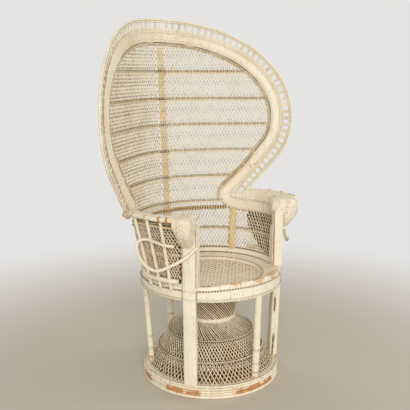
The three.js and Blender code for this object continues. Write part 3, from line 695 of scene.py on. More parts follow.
def makePillars():
    bottom, top = levels("pillar_left")
    under = levels("post_front")[1]
    middle = pillar["innerRadius"] + pillar["depth"] / 2
    turn = np.linspace(0, 2 * np.pi, 97)[:-1]
    across, deep = (np.sign(f(turn)) * np.abs(f(turn)) ** pillar["squareness"] * size / 2
                    for f, size in ((np.cos, pillar["width"]), (np.sin, pillar["depth"])))
    section = resample(np.stack([across, deep], -1), 96, closed=True)
    z = np.linspace(bottom - 1, top, 240)
    radius = middle - pillar["lean"] * np.clip((under - z) / (under - bottom), 0, 1)
    reed = np.abs(np.sin(np.pi * (section[:, 0] / pillar["width"] + 0.5) * pillar["reeds"])) ** 0.5
    for node, side in (("pillar_left", 1), ("pillar_right", -1)):
        angle = side * pillar["angle"]
        sway = np.stack([wander(240, 0.35, 9) for _ in range(12)], -1)
        sway = np.stack([np.interp(np.arange(96), np.linspace(0, 95, 12), row) for row in sway])
        push = (reed - 1)[None, :] * pillar["groove"] + sway - 0.5
        flat = section[None] + edgeNormals(section)[None] * push[..., None]
        points = polar(angle, radius, z)[:, None] + sideways(angle) * flat[..., :1] + outwards(angle) * flat[..., 1:]
        bundle = Bundle()
        bundle.grid(points, 0.55 + 0.45 * reed[None, :] - (1 - reed[None, :]) * np.clip(2 * sway, 0, 0.5))
        # thin rods bound across the pillar, level with the apron's edges
        across = np.linspace(-0.56, 0.56, 24) * pillar["width"]
        deep = pillar["depth"] / 2 + 1.2 - 4 * smooth(np.abs(across), 22, 31)
        for bead in pillar["beads"]:
            line = polar(angle, middle, bead) + sideways(angle) * across[:, None] + outwards(angle) * deep[:, None]
            rod(bundle, line, outwards(angle), pillar["bead"], 0.1, least=0.25)
        addPiece(node, bundle, painted)


makePosts()
makePillars()
print("posts done")


# Seat

wallStart = 64.06  # the tub wall, the rear apron and the arms start here, behind the pillars


def makeSeat():
    seat = {"wrap": 6.5, "groove": 0.45, "brim": 8, "dish": 18, "frontLift": 16, "seamLift": 10,
            "riseSpan": (16, 56), "rub": 0.6,
            "worn": ((-22, 4.5), (-1, 6.5), (16, 7), (29, 3), (-120, 4), (150, 5)),
            "cordRadius": 221.0, "cord": 5.6, "cordPitch": 15.0}
    panel = {"pitch": 21.0, "strip": 12.6, "thickness": 4.8, "weave": 0.8, "sag": 4, "drop": 3.4, "liningDrop": 10.5}
    apron = {"radius": 296, "wall": 12, "frontEnd": 51.94, "wrap": 7.5, "groove": 0.35, "edgeRod": 5, "footRod": 9,
             "cord": (6.6, 3.6, 23.0)}
    outer = reach("seat_rim")
    low, high = levels("seat_rim")
    opening = reach("seat_panel") + 0.3
    foot = levels("seat_apron_front")[1] + 0.3
    brimAt = outer - seat["brim"]

    def frontRise(turn):
        # how much higher the rim stands between the pillars
        return 1 - smooth(fromFront(turn), *seat["riseSpan"])

    profile = denser(roundedProfile([
        (outer - 12, foot), (outer, foot), (outer, high - 5), (brimAt, high), (opening + 8, high - seat["dish"]),
        (opening, high - 26), (opening, low), (opening + 16, low)], 6), 4)
    points, angle, crest = woundRing(profile, outer, seat["wrap"], seat["groove"])
    lift = smooth(profile[:, 0], opening + 4, brimAt) * smooth(profile[:, 1], foot, high - 6)
    points[..., 2] += seat["frontLift"] * frontRise(angle)[:, None] * lift[None, :]
    edge = np.exp(-((profile[:, 0] - outer + 20) / 26) ** 2) * smooth(profile[:, 1], high - 22, high - 6)
    bundle = Bundle()
    bundle.grid(points, crest, 0.0, seat["rub"] * edge[None, :] * wornSpots(angle, seat["worn"])[:, None], closed=True)
    # twisted cord laid round the dished rim
    drop = seat["dish"] * (brimAt - seat["cordRadius"]) / (brimAt - opening - 8)
    path, _, turn = ringPath(seat["cordRadius"], high - drop + 1.0, 620)
    path[:, 2] += seat["frontLift"] * frontRise(turn) * smooth(seat["cordRadius"], opening + 4, brimAt)
    rope(bundle, path, upward, seat["cord"], seat["cord"] * 0.55, seat["cordPitch"], closed=True, tone=0.08, shadeDots=0.85)
    addPiece("seat_rim", bundle, painted)

    # panel: flat strips woven square, with a small hole at each crossing's corner
    radius = opening + 4
    top = levels("seat_panel")[1]
    pitch = panel["pitch"]
    section = roundSection(panel["strip"], panel["thickness"], 16, 0.6)
    # the strips' lower halves and their under-crossings are darkened as painted shade, so the holes read dark
    undersideShade = smooth(section[None, :, 1] / panel["thickness"], 0.06, 0.36)
    most = math.floor(radius / pitch)

    def sag(s, across):
        return panel["sag"] * (1 - (s**2 + across**2) / radius**2)

    bundle = Bundle()
    for sign in (1, -1):
        for k in range(-most, most + 1):
            across = k * pitch + chance.normal(0, 0.3)
            if abs(across) > radius - 9:
                continue
            end = math.sqrt(radius**2 - across**2)
            s = np.linspace(-end, end, max(int(2 * end / 2.6), 8))
            wave = np.clip(sign * np.cos(np.pi * (s / pitch + k)) * 1.5, -1, 1)
            height = top - panel["drop"] - sag(s, across) + panel["weave"] * wave
            line = np.stack([s, across + wander(len(s), 0.25, 6), height], -1)
            path = line if sign > 0 else line[:, [1, 0, 2]]
            bundle.sweep(path, upward, section, (0.94 + 0.06 * wave)[:, None] * undersideShade, chance.normal(0, 0.04))
    addPiece("seat_panel", bundle, lattice)

    # a dark layer of flat cane under the panel: painted shade seen through the holes
    bundle = Bundle()
    for across in np.arange(-most, most + 1) * pitch:
        end = math.sqrt(max(radius**2 - across**2, 0)) - 4
        if end > 30:
            s = np.linspace(-end, end, 40)
            path = np.stack([s, np.full_like(s, across), top - panel["liningDrop"] - sag(s, across)], -1)
            bundle.sweep(path, upward, roundSection(pitch * 0.98, 2.2, 8), 0.05, 0.3 + chance.normal(0, 0.1))
    addPiece("seat_panel_lining", bundle, shaded, "")

    # aprons, wound upright, edged with a twisted cord above and two rods below
    low, high = levels("seat_apron_front")
    radius = apron["radius"]
    for node, start, end in (("seat_apron_front", -apron["frontEnd"], apron["frontEnd"]),
                             ("seat_apron_rear", wallStart, 360 - wallStart)):
        turns = round(math.radians(end - start) * radius / apron["wrap"])
        count = turns * 4 + 1
        angle = np.linspace(start, end, count)
        shape = boxProfile(radius - apron["wall"], radius, low, high, 3.5, 3)
        groove, mark = wrapMarks(count, turns, apron["groove"])
        points = polar(angle[:, None], shape[None, :, 0] * (1 + groove / radius)[:, None], shape[None, :, 1])
        seam = seat["seamLift"] * frontRise(angle)
        points[..., 2] += seam[:, None] * smooth(shape[:, 1], low + 4, high - 4)[None, :]
        bundle = Bundle()
        bundle.grid(points, (0.6 + 0.4 * mark)[:, None])
        half = angle[::2]
        rod(bundle, polar(half, radius + 0.5, low + 1.5), outwards(half), apron["edgeRod"], 0.12, least=0.1)
        rod(bundle, polar(half, radius - 5, low - 4.5), outwards(half), apron["footRod"], 0.05, 10, 0.1)
        rope(bundle, polar(angle, radius + 0.2, high - 0.2 + seam), outwards(angle), *apron["cord"], tone=0.08, sides=6,
             shadeDots=0.98)
        addPiece(node, bundle, painted)

    # hoop under the apron
    outer = reach("seat_lower_hoop")
    low, high = levels("seat_lower_hoop")
    bundle = Bundle()
    bundle.grid(turnedRing(boxProfile(outer - 12, outer, low, high, 5, 2.5), 180)[0], tone=0.2, closed=True)
    addPiece("seat_lower_hoop", bundle, painted)

    for node in ("seat_brace_across", "seat_brace_along"):
        for slot in bpy.data.objects[node].material_slots:
            slot.material = bareRattan


makeSeat()
print("seat done")


# Tub wall round the seat

tub = {"footRadius": 290, "lean": 0.057, "flare": 33, "bias": 0.55, "foot": levels("tub_weave")[0],
       "top": levels("tub_weave")[1], "armCrown": levels("arm_hood_left")[1], "bandTop": levels("arm_band_left")[1],
       "arc": 300}


def tubRadius(angle, z):
    share = np.clip((fromFront(np.asarray(angle, float)) - wallStart) / (180 - wallStart), 0, 1)
    rise = z - tub["foot"]
    swell = tub["flare"] * np.sin(np.pi * share ** tub["bias"]) * rise / (tub["armCrown"] - tub["foot"])
    return tub["footRadius"] + rise * tub["lean"] + swell


cane = {"pitch": 15.0, "steep": 1.9, "width": 4.6, "thickness": 3.2, "sides": 6, "step": 4.4, "loose": 0.4,
        "mood": 0.05}


def weaveField(bundle, spot, edges, bottom, top, across, tone=0.0, pitch=cane["pitch"], width=cane["width"],
               shade=None):
    # two crossing families of cane over a surface, one in front of the other. spot takes a place across, a height and
    # a depth, edges gives how far the weave reaches at each height, and shade how far it is darkened there, as painted
    # shade
    section = roundSection(width, cane["thickness"], cane["sides"])
    # the strands' sides are darkened as painted shade
    strandSides = 0.45 + 0.55 * smooth(1 - np.abs(section[None, :, 0]) / section[:, 0].max(), 0.0, 0.5)
    z = np.arange(bottom, top + cane["step"], cane["step"])
    span = (top - bottom) / cane["steep"]
    low, high = edges(z)
    first = math.floor((across[0] - span) / pitch) - 1
    last = math.ceil((across[1] + span) / pitch) + 1
    for sign in (1, -1):
        # each family gets painted shade at the crossings, on the side turned to the other one
        facing = smooth(-sign * section[None, :, 1] / section[:, 1].max(), -0.6, 0.1)
        for k in range(first, last + 1):
            drift = wander(len(z), 0.4, 8) + chance.normal(0, cane["loose"])
            a = k * pitch + sign * (z - bottom) / cane["steep"]
            inside = (a > low) & (a < high)
            if inside.sum() < 4:
                continue
            for run in np.split(np.arange(len(z)), np.where(np.diff(inside.astype(int)) != 0)[0] + 1):
                if len(run) < 4 or not inside[run[0]]:
                    continue
                other = (k * pitch + 2 * sign * (z[run] - bottom) / cane["steep"]) / pitch
                cross = np.cos(2 * np.pi * other)
                depth = -0.42 * sign * cane["thickness"] * (0.7 + 0.3 * cross)
                place = a[run] + drift[run]
                path = spot(place, z[run], depth)
                normal = spot(place, z[run], depth - 1) - path
                crest = (1 - 0.9 * smooth(cross, -0.35, 0.6)[:, None] * facing) * strandSides
                if shade:
                    crest = crest * shade(z[run])[:, None]
                bundle.sweep(path, normal, section, crest, tone + chance.normal(0, cane["mood"]))


def twinedRow(bundle, path, normal, lay=1, paintAndLight=1.0):
    # two canes twisted along the row, and a plain cane under them
    row = {"cord": (10.5, 5.4, 18.5), "rise": 3.0, "cane": 5.6, "drop": 4.6, "tone": 0.1}
    rope(bundle, path + upward * row["rise"], normal, *row["cord"], tone=row["tone"], lay=lay, shadeDots=0.98,
         paintAndLight=0.85 * paintAndLight)
    rod(bundle, path - upward * row["drop"], normal, row["cane"], row["tone"], 7, 0.35, paintAndLight=paintAndLight)


def onTub(a, z, depth):
    # distance round the tub at its foot, measured from the middle of the back
    angle = 180 + np.degrees(a / tub["arc"])
    return polar(angle, tubRadius(angle, z) + depth, z)


def makeTub():
    wall = {"row": 563.0, "below": 4, "above": 14, "postAngle": 118, "post": 33, "postInset": 15.0, "postPitch": 150.0,
            "postStrands": 5}
    rail = {"inner": 264, "outer": 294, "middle": 280, "wrap": 7.0, "groove": 0.4, "cord": 9.0, "cordRadius": 287.0,
            "frontCord": 8.0}
    half = math.radians(180 - wallStart) * tub["arc"]
    a = np.linspace(-half, half, 900)
    bundle = Bundle()
    weaveField(bundle, onTub, lambda z: (-half, half), tub["foot"] - wall["below"], tub["top"] + wall["above"],
               (-half, half))
    path = onTub(a, wall["row"], 0.0)
    twinedRow(bundle, path, path - onTub(a, wall["row"], 1.0))
    addPiece("tub_weave", bundle, lattice)

    # round rail on the seat, with a twisted cord behind it and another in front
    low, high = levels("tub_rail")
    start, end = wallStart, 360 - wallStart
    turns = round(math.radians(end - start) * rail["middle"] / rail["wrap"])
    count = turns * 4 + 1
    angle = np.linspace(start, end, count)
    shape = denser(roundedProfile([(rail["inner"], low - 8), (rail["outer"], low - 1), (rail["outer"], high),
                                   (rail["inner"] + 8, high)], 7), 3)
    ridge = np.abs(np.sin(np.pi * (np.linspace(0, turns, count) % 1)))[:, None] ** 0.35
    points = polar(angle[:, None], shape[None, :, 0], shape[None, :, 1] + rail["groove"] * (ridge - 1))
    bundle = Bundle()
    # the rail's lower lip over the rim is darkened as painted shade
    bundle.grid(points, (0.65 + 0.35 * ridge) * np.where(shape[:, 1] < low - 4, 0.3, 1.0)[None, :])
    turn = 180 + np.degrees(a / tub["arc"])
    for radius, z, size in ((rail["cordRadius"], high + 1.5, rail["cord"]),
                            (rail["inner"] - 1, low - 7.0, rail["frontCord"])):
        rope(bundle, polar(turn, radius, z), upward, size, size * 0.56, 3.2 * size, tone=0.1, shadeDots=0.98)
    addPiece("tub_rail", bundle, painted)

    # twisted posts inside the tub wall
    for node, side in (("tub_post_left", 1), ("tub_post_right", -1)):
        angle = side * wall["postAngle"]
        z = np.linspace(tub["foot"], levels(node)[1] + 6, 160)
        path = polar(angle, tubRadius(angle, z) - wall["postInset"], z)
        bundle = Bundle()
        rope(bundle, path, outwards(angle), wall["post"], wall["post"] * 0.4, wall["postPitch"], wall["postStrands"],
             flat=0.5, lay=side)
        addPiece(node, bundle, golden)


makeTub()
print("tub done")


# Fan back, set out flat along the bow and then bent

fan = {"halfWidth": 612, "widest": 1075, "roundness": 2.1, "sideRadius": 285, "sweep": 44, "footHalfWidth": 386.5,
       "footTaper": 0.73, "foot": levels("border_band")[0], "top": levels("border_rim_rod")[1] + 0.5,
       "bowDepth": 166.2, "wingSlope": 0.85}
bowX = np.linspace(0, 560, 561)
bowY = fan["bowDepth"] - np.hypot(fan["bowDepth"], fan["wingSlope"] * bowX)
bowRun = np.concatenate([[0], np.cumsum(np.hypot(np.diff(bowX), np.diff(bowY)))])
bowSlope = np.gradient(bowY, bowX)


def onBack(along, z, depth):
    # depth is measured backwards from the middle of the weave
    along, z, depth = np.broadcast_arrays(np.asarray(along, float), z, depth)
    x, y, rise = (np.interp(np.abs(along), bowRun, column) for column in (bowX, bowY, bowSlope))
    size = np.hypot(1, rise)
    return np.stack([np.sign(along) * (x - rise / size * depth), y + depth / size + tubRadius(180.0, z), z], -1)


def backLine(along, z, depth=0.0):
    # a line on the back, and which way the back faces there
    path = onBack(along, z, depth)
    return path, path - onBack(along, z, depth + 1.0)


spine = {"canes": 6, "pitch": 5.6, "width": 6.4, "thickness": 7, "depth": -7.5, "standOff": 13, "standSpan": (11, 26)}


def overSpine(along, z, depth):
    # the weave passes in front of the spine
    return onBack(along, z, depth - spine["standOff"] * (1 - smooth(np.abs(along), *spine["standSpan"])))


def fanSide(inset):
    rise = fan["top"] - fan["widest"]
    power = 2 / fan["roundness"]
    turn = np.radians(np.linspace(0, 90, 90))
    s, c = np.sin(turn), np.maximum(np.cos(turn), 0)
    edge = np.stack([fan["halfWidth"] * s**power, rise * c**power], -1)
    normal = unitVector(np.stack([s ** (2 - power) / fan["halfWidth"], c ** (2 - power) / rise], -1))
    top = edge - inset * normal + [0, fan["widest"]]
    turn = np.radians(np.linspace(0, fan["sweep"], 40))[1:]
    radius = fan["sideRadius"] - inset
    side = np.stack([fan["halfWidth"] - fan["sideRadius"] + radius * np.cos(turn),
                     fan["widest"] - radius * np.sin(turn)], -1)
    taper = inset / math.cos(math.radians(fan["sweep"])) * fan["footTaper"]
    foot = np.array([fan["footHalfWidth"] - taper, fan["foot"]])
    leg = side[-1] + (foot - side[-1]) * np.linspace(0, 1, 20)[1:, None]
    return np.vstack([top, side, leg])


def fanEdge(inset, count):
    # from the right arm over the top to the left arm, evenly spaced
    half = fanSide(inset)
    return resample(np.vstack([half[::-1] * [-1, 1], half[1:]]), count)


def fanPath(inset, count, depth=0.0):
    return backLine(*fanEdge(inset, count).T, depth)


# The flat band runs down the fan's edge, round the waist, along the arm and down the pillar.
# waist: distance from the middle, height, share of the way from the fan to the tub wall, width
# turn: angle, radius, height, width

band = {"inset": 77.0, "width": 35, "armWidth": 45, "armLevel": 673.5, "fanEnd": 830, "wallGap": 3, "thickness": 8.0,
        "cord": 5.0, "wrap": 6.0, "topShadeAndWear": 0.12, "topShadeSpan": (1290, 1420), "waistLevel": 716, "cornerLevel": 679,
        "waist": ((269, 738, 0, 38), (263.5, 716, 0.3, 40), (266, 697, 0.6, 42), (276, 683, 0.9, 43),
                  (292, 675.5, 1, 45)),
        "turn": ((70, 309, 671, 45), (64.5, 293, 661, 45), (60.5, 277, 640, 44), (58.5, 268, 612, 44),
                 (58, 266, 580, 44), (58, 266, 530, 44), (58, 266, 476, 44))}


def bandRoute():
    # place, facing and width
    flat = fanSide(band["inset"])
    flat = flat[flat[:, 1] > band["fanEnd"]]
    spots = [np.hstack([*backLine(*flat.T), np.full((len(flat), 1), band["width"])])]

    def add(spot, normal, width):
        spots.append(np.concatenate([spot, normal, [width]])[None])

    for x, z, share, width in band["waist"]:
        onFan, facing = backLine(np.interp(x, bowX, bowRun), z)
        angle = 120.0
        for _ in range(6):
            radius = tubRadius(angle, z) - band["wallGap"]
            angle = 180 - math.degrees(math.asin(min(x / radius, 1)))
        add(onFan + (polar(angle, radius, z) - onFan) * share,
            unitVector(facing - (outwards(angle) + facing) * share), width)
    for angle in range(108, 72, -4):
        radius = tubRadius(angle, band["armLevel"]) - band["wallGap"]
        add(polar(angle, radius, band["armLevel"]), -outwards(angle), band["armWidth"])
    for angle, radius, z, width in band["turn"]:
        add(polar(angle, radius, z), -outwards(angle), width)
    return curveThrough(np.vstack(spots), 1800)


mirror = np.array([-1, 1, 1, -1, 1, 1, 1])
leftRoute = bandRoute()


def routeAcross(last):
    # both sides of the fan, from the right over the top to the left
    return np.vstack([leftRoute[last::-1] * mirror, leftRoute[1:last + 1]])


waistAt, cornerAt = (int(np.argmax(leftRoute[:, 2] < band[level])) for level in ("waistLevel", "cornerLevel"))
fanRoute = routeAcross(waistAt)
armRoutes = {1: leftRoute[waistAt:], -1: leftRoute[waistAt:] * mirror}


def besideBand(route, gap, depth=0.0, side=1):
    # a line that keeps its distance from the band's edge; a positive gap is on the weave's side
    path, normal, width = route[:, :3], unitVector(route[:, 3:6]), route[:, 6]
    across, up = frames(path, normal)
    far = np.sign(gap) * width / 2 + gap
    return path + side * across * far[:, None] + up * depth, normal


def makeBand(bundle, route):
    # flat band wound crosswise, with a slim rod along each edge
    path, normal, width = route[:, :3], unitVector(route[:, 3:6]), route[:, 6]
    ridge = np.abs(np.sin(np.pi * runLength(path)[0] / band["wrap"]))[:, None] ** 0.35
    side, up = frames(path, normal)
    section = roundSection(1.0, band["thickness"], 18, 0.35)
    wide = section[None, :, 0] * (width - 2 * band["cord"] + 1)[:, None]
    deep = section[None, :, 1] * (1 + 0.05 * (ridge - 1))
    points = path[:, None] + side[:, None] * wide[..., None] + up[:, None] * deep[..., None]
    # the band's edges are darkened as painted shade, and its upper part on the fan gets painted shade and a little
    # rubbing
    rim = 1 - 0.5 * smooth(np.abs(section[None, :, 0]) * 2, 0.94, 1.0)
    topShadeAndWear = band["topShadeAndWear"] * smooth(path[:, 2], *band["topShadeSpan"])[:, None]
    bundle.grid(points, (0.8 + 0.2 * ridge) * rim - 3.2 * topShadeAndWear, topShadeAndWear)
    for sign in (1, -1):
        line = path + side * (sign * (width - band["cord"]) / 2)[:, None] + up * 1.2
        rod(bundle, line, normal, band["cord"], 0.04 + chance.normal(0, 0.02), 9, 0.4, band["cord"] + 1.5)


def makeWeave():
    # lattice, in two halves that meet at the spine
    weave = {"inset": 113.5, "rows": (1273, 1154, 1039, 923, 805, 690), "foot": 184.846, "overlap": 3,
             "farShadeTone": 0.07, "farShade": 0.72, "span": 480, "bulge": 4, "bulgeSpan": (16, 32)}
    side = fanSide(weave["inset"])[::-1]
    ceiling = side[:, 1].max()

    def reachAt(z):
        return np.interp(z, side[:, 1], side[:, 0])

    # the far half is darker and warmer: painted shade
    for node, sign, tone, paintAndLight in (("back_weave_left", 1, 0.0, 1.0),
                                    ("back_weave_right", -1, weave["farShadeTone"], weave["farShade"])):
        def edges(z):
            far = np.where(z < ceiling, reachAt(z), -9)
            return (-weave["overlap"], far) if sign > 0 else (-far, weave["overlap"])

        bundle = Bundle()
        weaveField(bundle, overSpine, edges, tub["foot"] + weave["foot"], ceiling, (-weave["span"], weave["span"]),
                   tone)
        for z in weave["rows"]:
            a = np.linspace(0, sign * reachAt(z), int(reachAt(z) / 2.0))
            path = overSpine(a, z, -weave["bulge"] * (1 - smooth(np.abs(a), *weave["bulgeSpan"])))
            twinedRow(bundle, path, backLine(a, z)[1], sign, paintAndLight)
        addPiece(node, bundle, lattice)


def makeSpine():
    # golden canes laid side by side, and a rail of two ropes that crosses in front of them
    rail = {"reach": 304, "cord": (10.0, 5.8, 24.0), "apart": 4.6, "depth": -4.0, "bulge": 9, "bulgeSpan": (14, 44)}
    low, high = levels("back_spine")
    z = np.linspace(low, high, 240)
    section = roundSection(spine["width"], spine["thickness"], 10)
    # the canes' sides are darkened as painted shade, where they meet
    marks = 0.5 + 0.5 * smooth(1 - np.abs(section[None, :, 0]) / (spine["width"] / 2), 0.0, 0.4)
    bundle = Bundle()
    for k in range(spine["canes"]):
        path = onBack(0.0, z, spine["depth"])
        path[:, 0] += (k - (spine["canes"] - 1) / 2) * spine["pitch"]
        path[:, 0] += wander(240, 0.35, 12)
        bundle.sweep(path, [0, -1.0, 0], section, marks, chance.normal(0, 0.06))
    addPiece("back_spine", bundle, golden)

    level = sum(levels("back_cross_rail")) / 2
    a = np.linspace(-rail["reach"], rail["reach"], 700)
    path = onBack(a, level, rail["depth"] - rail["bulge"] * (1 - smooth(np.abs(a), *rail["bulgeSpan"])))
    bundle = Bundle()
    for lay in (1, -1):
        rope(bundle, path + upward * lay * rail["apart"], backLine(a, level, rail["depth"])[1], *rail["cord"], lay=lay,
             shadeDots=0.9)
    addPiece("back_cross_rail", bundle, golden)


def makeBorder():
    border = {"rimRod": 10, "rimCord": (4.6, 2.6, 22.0), "slimRod": 6.0, "slimInset": 13.4, "slimDepth": 3.6,
              "innerInset": 45.5, "rung": 6.6, "rungDepth": 4.8, "rungPitch": 30, "rungMiddle": 30, "rungOut": 23,
              "rungIn": 20, "ladderEnd": 30}
    # from the outside in
    path, normal = fanPath(border["rimRod"] / 2, 1500)
    bundle = Bundle()
    knobs = 1 + wander(1500, 0.03, 300)
    rod(bundle, path, normal, border["rimRod"], 0.04, 10, 0.5, wear=0.02 + wander(1500, 0.06, 60)[:, None], grow=knobs)
    path, normal = fanPath(border["rimRod"] + 0.2, 2600, -3.2)
    rope(bundle, path, normal, *border["rimCord"], tone=0.1, shadeDots=0.98, sides=6)
    addPiece("border_rim_rod", bundle, painted)

    # ladder: pairs of straight rungs held between slim rods
    bundle = Bundle()
    for inset in (border["slimInset"], border["innerInset"]):
        for side in (-1, 1):
            path, normal = fanPath(inset, 1500, side * border["slimDepth"])
            rod(bundle, path, normal, border["slimRod"], 0.05, 9, 0.2)
    middle = fanEdge(border["rungMiddle"], 4000)
    run, total = runLength(middle)
    heading = slope(middle)
    count = round((total - 2 * border["ladderEnd"]) / border["rungPitch"])
    for place in np.linspace(border["ladderEnd"], total - border["ladderEnd"], count + 1):
        i = np.searchsorted(run, place)
        inward = np.array([heading[i][1], -heading[i][0]])
        for half in (-0.5, 0.5):
            flat = middle[i] + heading[i] * half * border["rung"] * 1.02
            flat = flat + inward * np.linspace(-border["rungOut"], border["rungIn"], 16)[:, None]
            rod(bundle, *backLine(*flat.T), border["rung"], 0.12 + chance.normal(0, 0.05), 8, 0.45, border["rungDepth"])
    addPiece("border_ladder", bundle, painted)

    # slim rods beside the band, in front and behind, as a gap, a size and the steps that they stop short of the waist
    outer = {"rods": ((-3.2, 6.2, 0), (-8.9, 5.2, 30)), "depths": (-2.6, 2.6), "thickness": 5.4}
    bundle = Bundle()
    for gap, size, short in outer["rods"]:
        route = fanRoute[short:len(fanRoute) - short:2]
        for depth in outer["depths"]:
            path, normal = besideBand(route, gap, depth)
            rod(bundle, path, normal, size, 0.05 + chance.normal(0, 0.03), 8, 0.42, outer["thickness"])
    addPiece("border_outer_braid", bundle, painted)

    bundle = Bundle()
    makeBand(bundle, fanRoute)
    addPiece("border_band", bundle, painted)

    # between the band and the weave: a rod, a dark seam of painted shadow and two golden cords, each at a gap and a
    # depth
    braid = {"rod": 6.0, "rodDepth": 6.5, "rodAt": (3.0, 1.2), "seam": 3.2, "seamDepth": 6.0, "seamAt": (7.2, 0.8),
             "cord": (7.4, 4.1, 21.0), "cordGaps": (12.2, 18.6), "cordDepth": 0.6}
    bundle = Bundle()
    path, normal = besideBand(routeAcross(cornerAt), *braid["rodAt"])
    rod(bundle, path, normal, braid["rod"], 0.04, 8, 0.3, braid["rodDepth"])
    path, normal = besideBand(routeAcross(cornerAt), *braid["seamAt"])
    bundle.sweep(path, normal, roundSection(braid["seam"], braid["seamDepth"], 8),
                 0.16 + wander(len(path), 0.25, 90)[:, None], 0.1)
    for gap, lay in zip(braid["cordGaps"], (1, -1)):
        path, normal = (resample(line, 2400) for line in besideBand(fanRoute, gap, braid["cordDepth"]))
        rope(bundle, path, normal, *braid["cord"], tone=0.2, dark=0.15, shadeDots=0.5, lay=lay, sides=6)
    addPiece("border_inner_braid", bundle, lattice)


makeWeave()
makeSpine()
makeBorder()
print("back done")


# Arms

arm = {"outerRadius": 380, "rearRadius": 366, "endAngle": 127.5, "endSkew": 0.39, "round": 20, "lip": 15, "wall": 6,
       "fallSpan": (0.75, 0.9), "rearDrop": 22, "gap": 3.5, "pillow": 1.1, "spindles": (72, 82, 93),
       "spindle": 13, "spindleFoot": 303, "rail": 19, "cell": 10.5, "tieSpots": (67, 72, 82, 93, 106, 116), "loop": 12}
knuckle = {"width": 60, "outer": 376, "height": 131, "round": 44, "lift": 9, "slant": 58, "foot": 22, "overlap": 10,
           "rollBack": 12, "rollDrop": 54, "pillow": 1.8}


def closeWeave(points, cell, height):
    # small pillows of a close weave, pressed into a grid of points
    steps = (np.linalg.norm(np.diff(points, axis=k), axis=2).mean(1 - k) for k in (0, 1))
    u, v = (np.concatenate([[0], np.cumsum(step)]) for step in steps)
    shift = 0.5 * (np.floor(u / cell) % 2)[:, None]
    pillow = np.abs(np.sin(np.pi * u / cell))[:, None] * np.abs(np.sin(np.pi * (0.6 * v[None, :] / cell + shift)))
    pillow = pillow ** 0.5
    normal = unitVector(np.cross(np.gradient(points, axis=0), np.gradient(points, axis=1)))
    outer = np.sign(np.einsum("ijk,ijk->", normal, points - points.reshape(-1, 3).mean(0)))
    return points + outer * normal * (height * (pillow - 1))[..., None], pillow


def coil(bundle, centre, axis, radius, turns, pitch, strand, tone):
    # a few turns of cane bound round a rail
    axis = unitVector(axis)
    first = unitVector(np.cross(axis, [0.2, 0.3, 1.0]))
    second = np.cross(axis, first)
    turn = np.linspace(0, 2 * np.pi * turns, int(turns * 14))
    away = np.cos(turn)[:, None] * first + np.sin(turn)[:, None] * second
    path = centre + radius * away + axis * (pitch * (turn / (2 * np.pi) - turns / 2))[:, None]
    rod(bundle, path, away, strand, tone, 6, deep=strand * 0.7)


def hoodRings(side, steps):
    # rings of the hood from the pillar back to the fan: over the arm, then back under it
    rings = []
    for share in np.linspace(0, 1, steps):
        angle = wallStart + (arm["endAngle"] - wallStart) * share
        fall = smooth(share, *arm["fallSpan"])
        top = tub["armCrown"] - arm["rearDrop"] * fall
        outer = arm["outerRadius"] + (arm["rearRadius"] - arm["outerRadius"]) * fall
        foot, bend = tub["bandTop"] + 0.3, top - arm["round"]
        inner = tubRadius(angle, bend) - arm["gap"]
        over = curveThrough(np.array([
            (tubRadius(angle, foot) - arm["gap"], foot), (inner, bend), (inner + 6, top - 6),
            (inner + arm["round"], top), ((inner + outer) / 2, top + 1), (outer - arm["lip"], top),
            (outer - 4, top - 4), (outer, top - arm["lip"])]), 46)
        away = unitVector(np.stack([-np.gradient(over[:, 1]), np.gradient(over[:, 0])], -1))
        loop = np.vstack([over, (over - away * arm["wall"])[::-1]])
        end = arm["endAngle"] - (loop[:, 0] - tubRadius(arm["endAngle"], tub["bandTop"])) * arm["endSkew"]
        rings.append(polar(side * (wallStart + (end - wallStart) * share), loop[:, 0], loop[:, 1]))
    return np.array(rings)


def makeArmBands(ending, side):
    # inner band, turning down the pillar at the front, with a twisted cord below and a slim rod above
    trim = {"cord": (8.0, 4.4, 21.0), "rod": 5.6, "frontRod": 5, "rodDepth": 6, "strip": 5.0}
    route = armRoutes[side]
    bundle = Bundle()
    makeBand(bundle, route)
    path, normal = (resample(line, 520) for line in besideBand(route, 4.2, 0.5, side))
    rope(bundle, path, normal, *trim["cord"], tone=0.1, shadeDots=0.85)
    path, normal = besideBand(route[:-40], -3.2, 0.0, side)
    rod(bundle, path, normal, trim["rod"], 0.08, 8, 0.15, trim["rodDepth"])
    addPiece("arm_band" + ending, bundle, painted)

    # smooth strip down the pillar's front edge, between two slim rods
    angle = side * pillar["angle"]
    low, high = levels("arm_front_band_left")
    front = -side * sideways(angle)
    path = polar(angle, pillar["innerRadius"] + pillar["depth"] / 2, np.linspace(low, high + 12, 240))
    path = path + front * (pillar["width"] / 2 + 2.5)
    section = roundSection(pillar["depth"] - 7, trim["strip"], 16, 0.35)
    bundle = Bundle()
    # the strip's edges are darkened as painted shade
    bundle.sweep(path, front, section, 1 - 0.5 * smooth(np.abs(section[None, :, 0]) / section[:, 0].max(), 0.9, 1.0))
    for edge in (-1, 1):
        line = path + outwards(angle) * edge * (pillar["depth"] / 2 - 2)
        rod(bundle, line, front, trim["frontRod"], 0.04, 8, 0.3, trim["rodDepth"])
    addPiece("arm_front_band" + ending, bundle, painted)


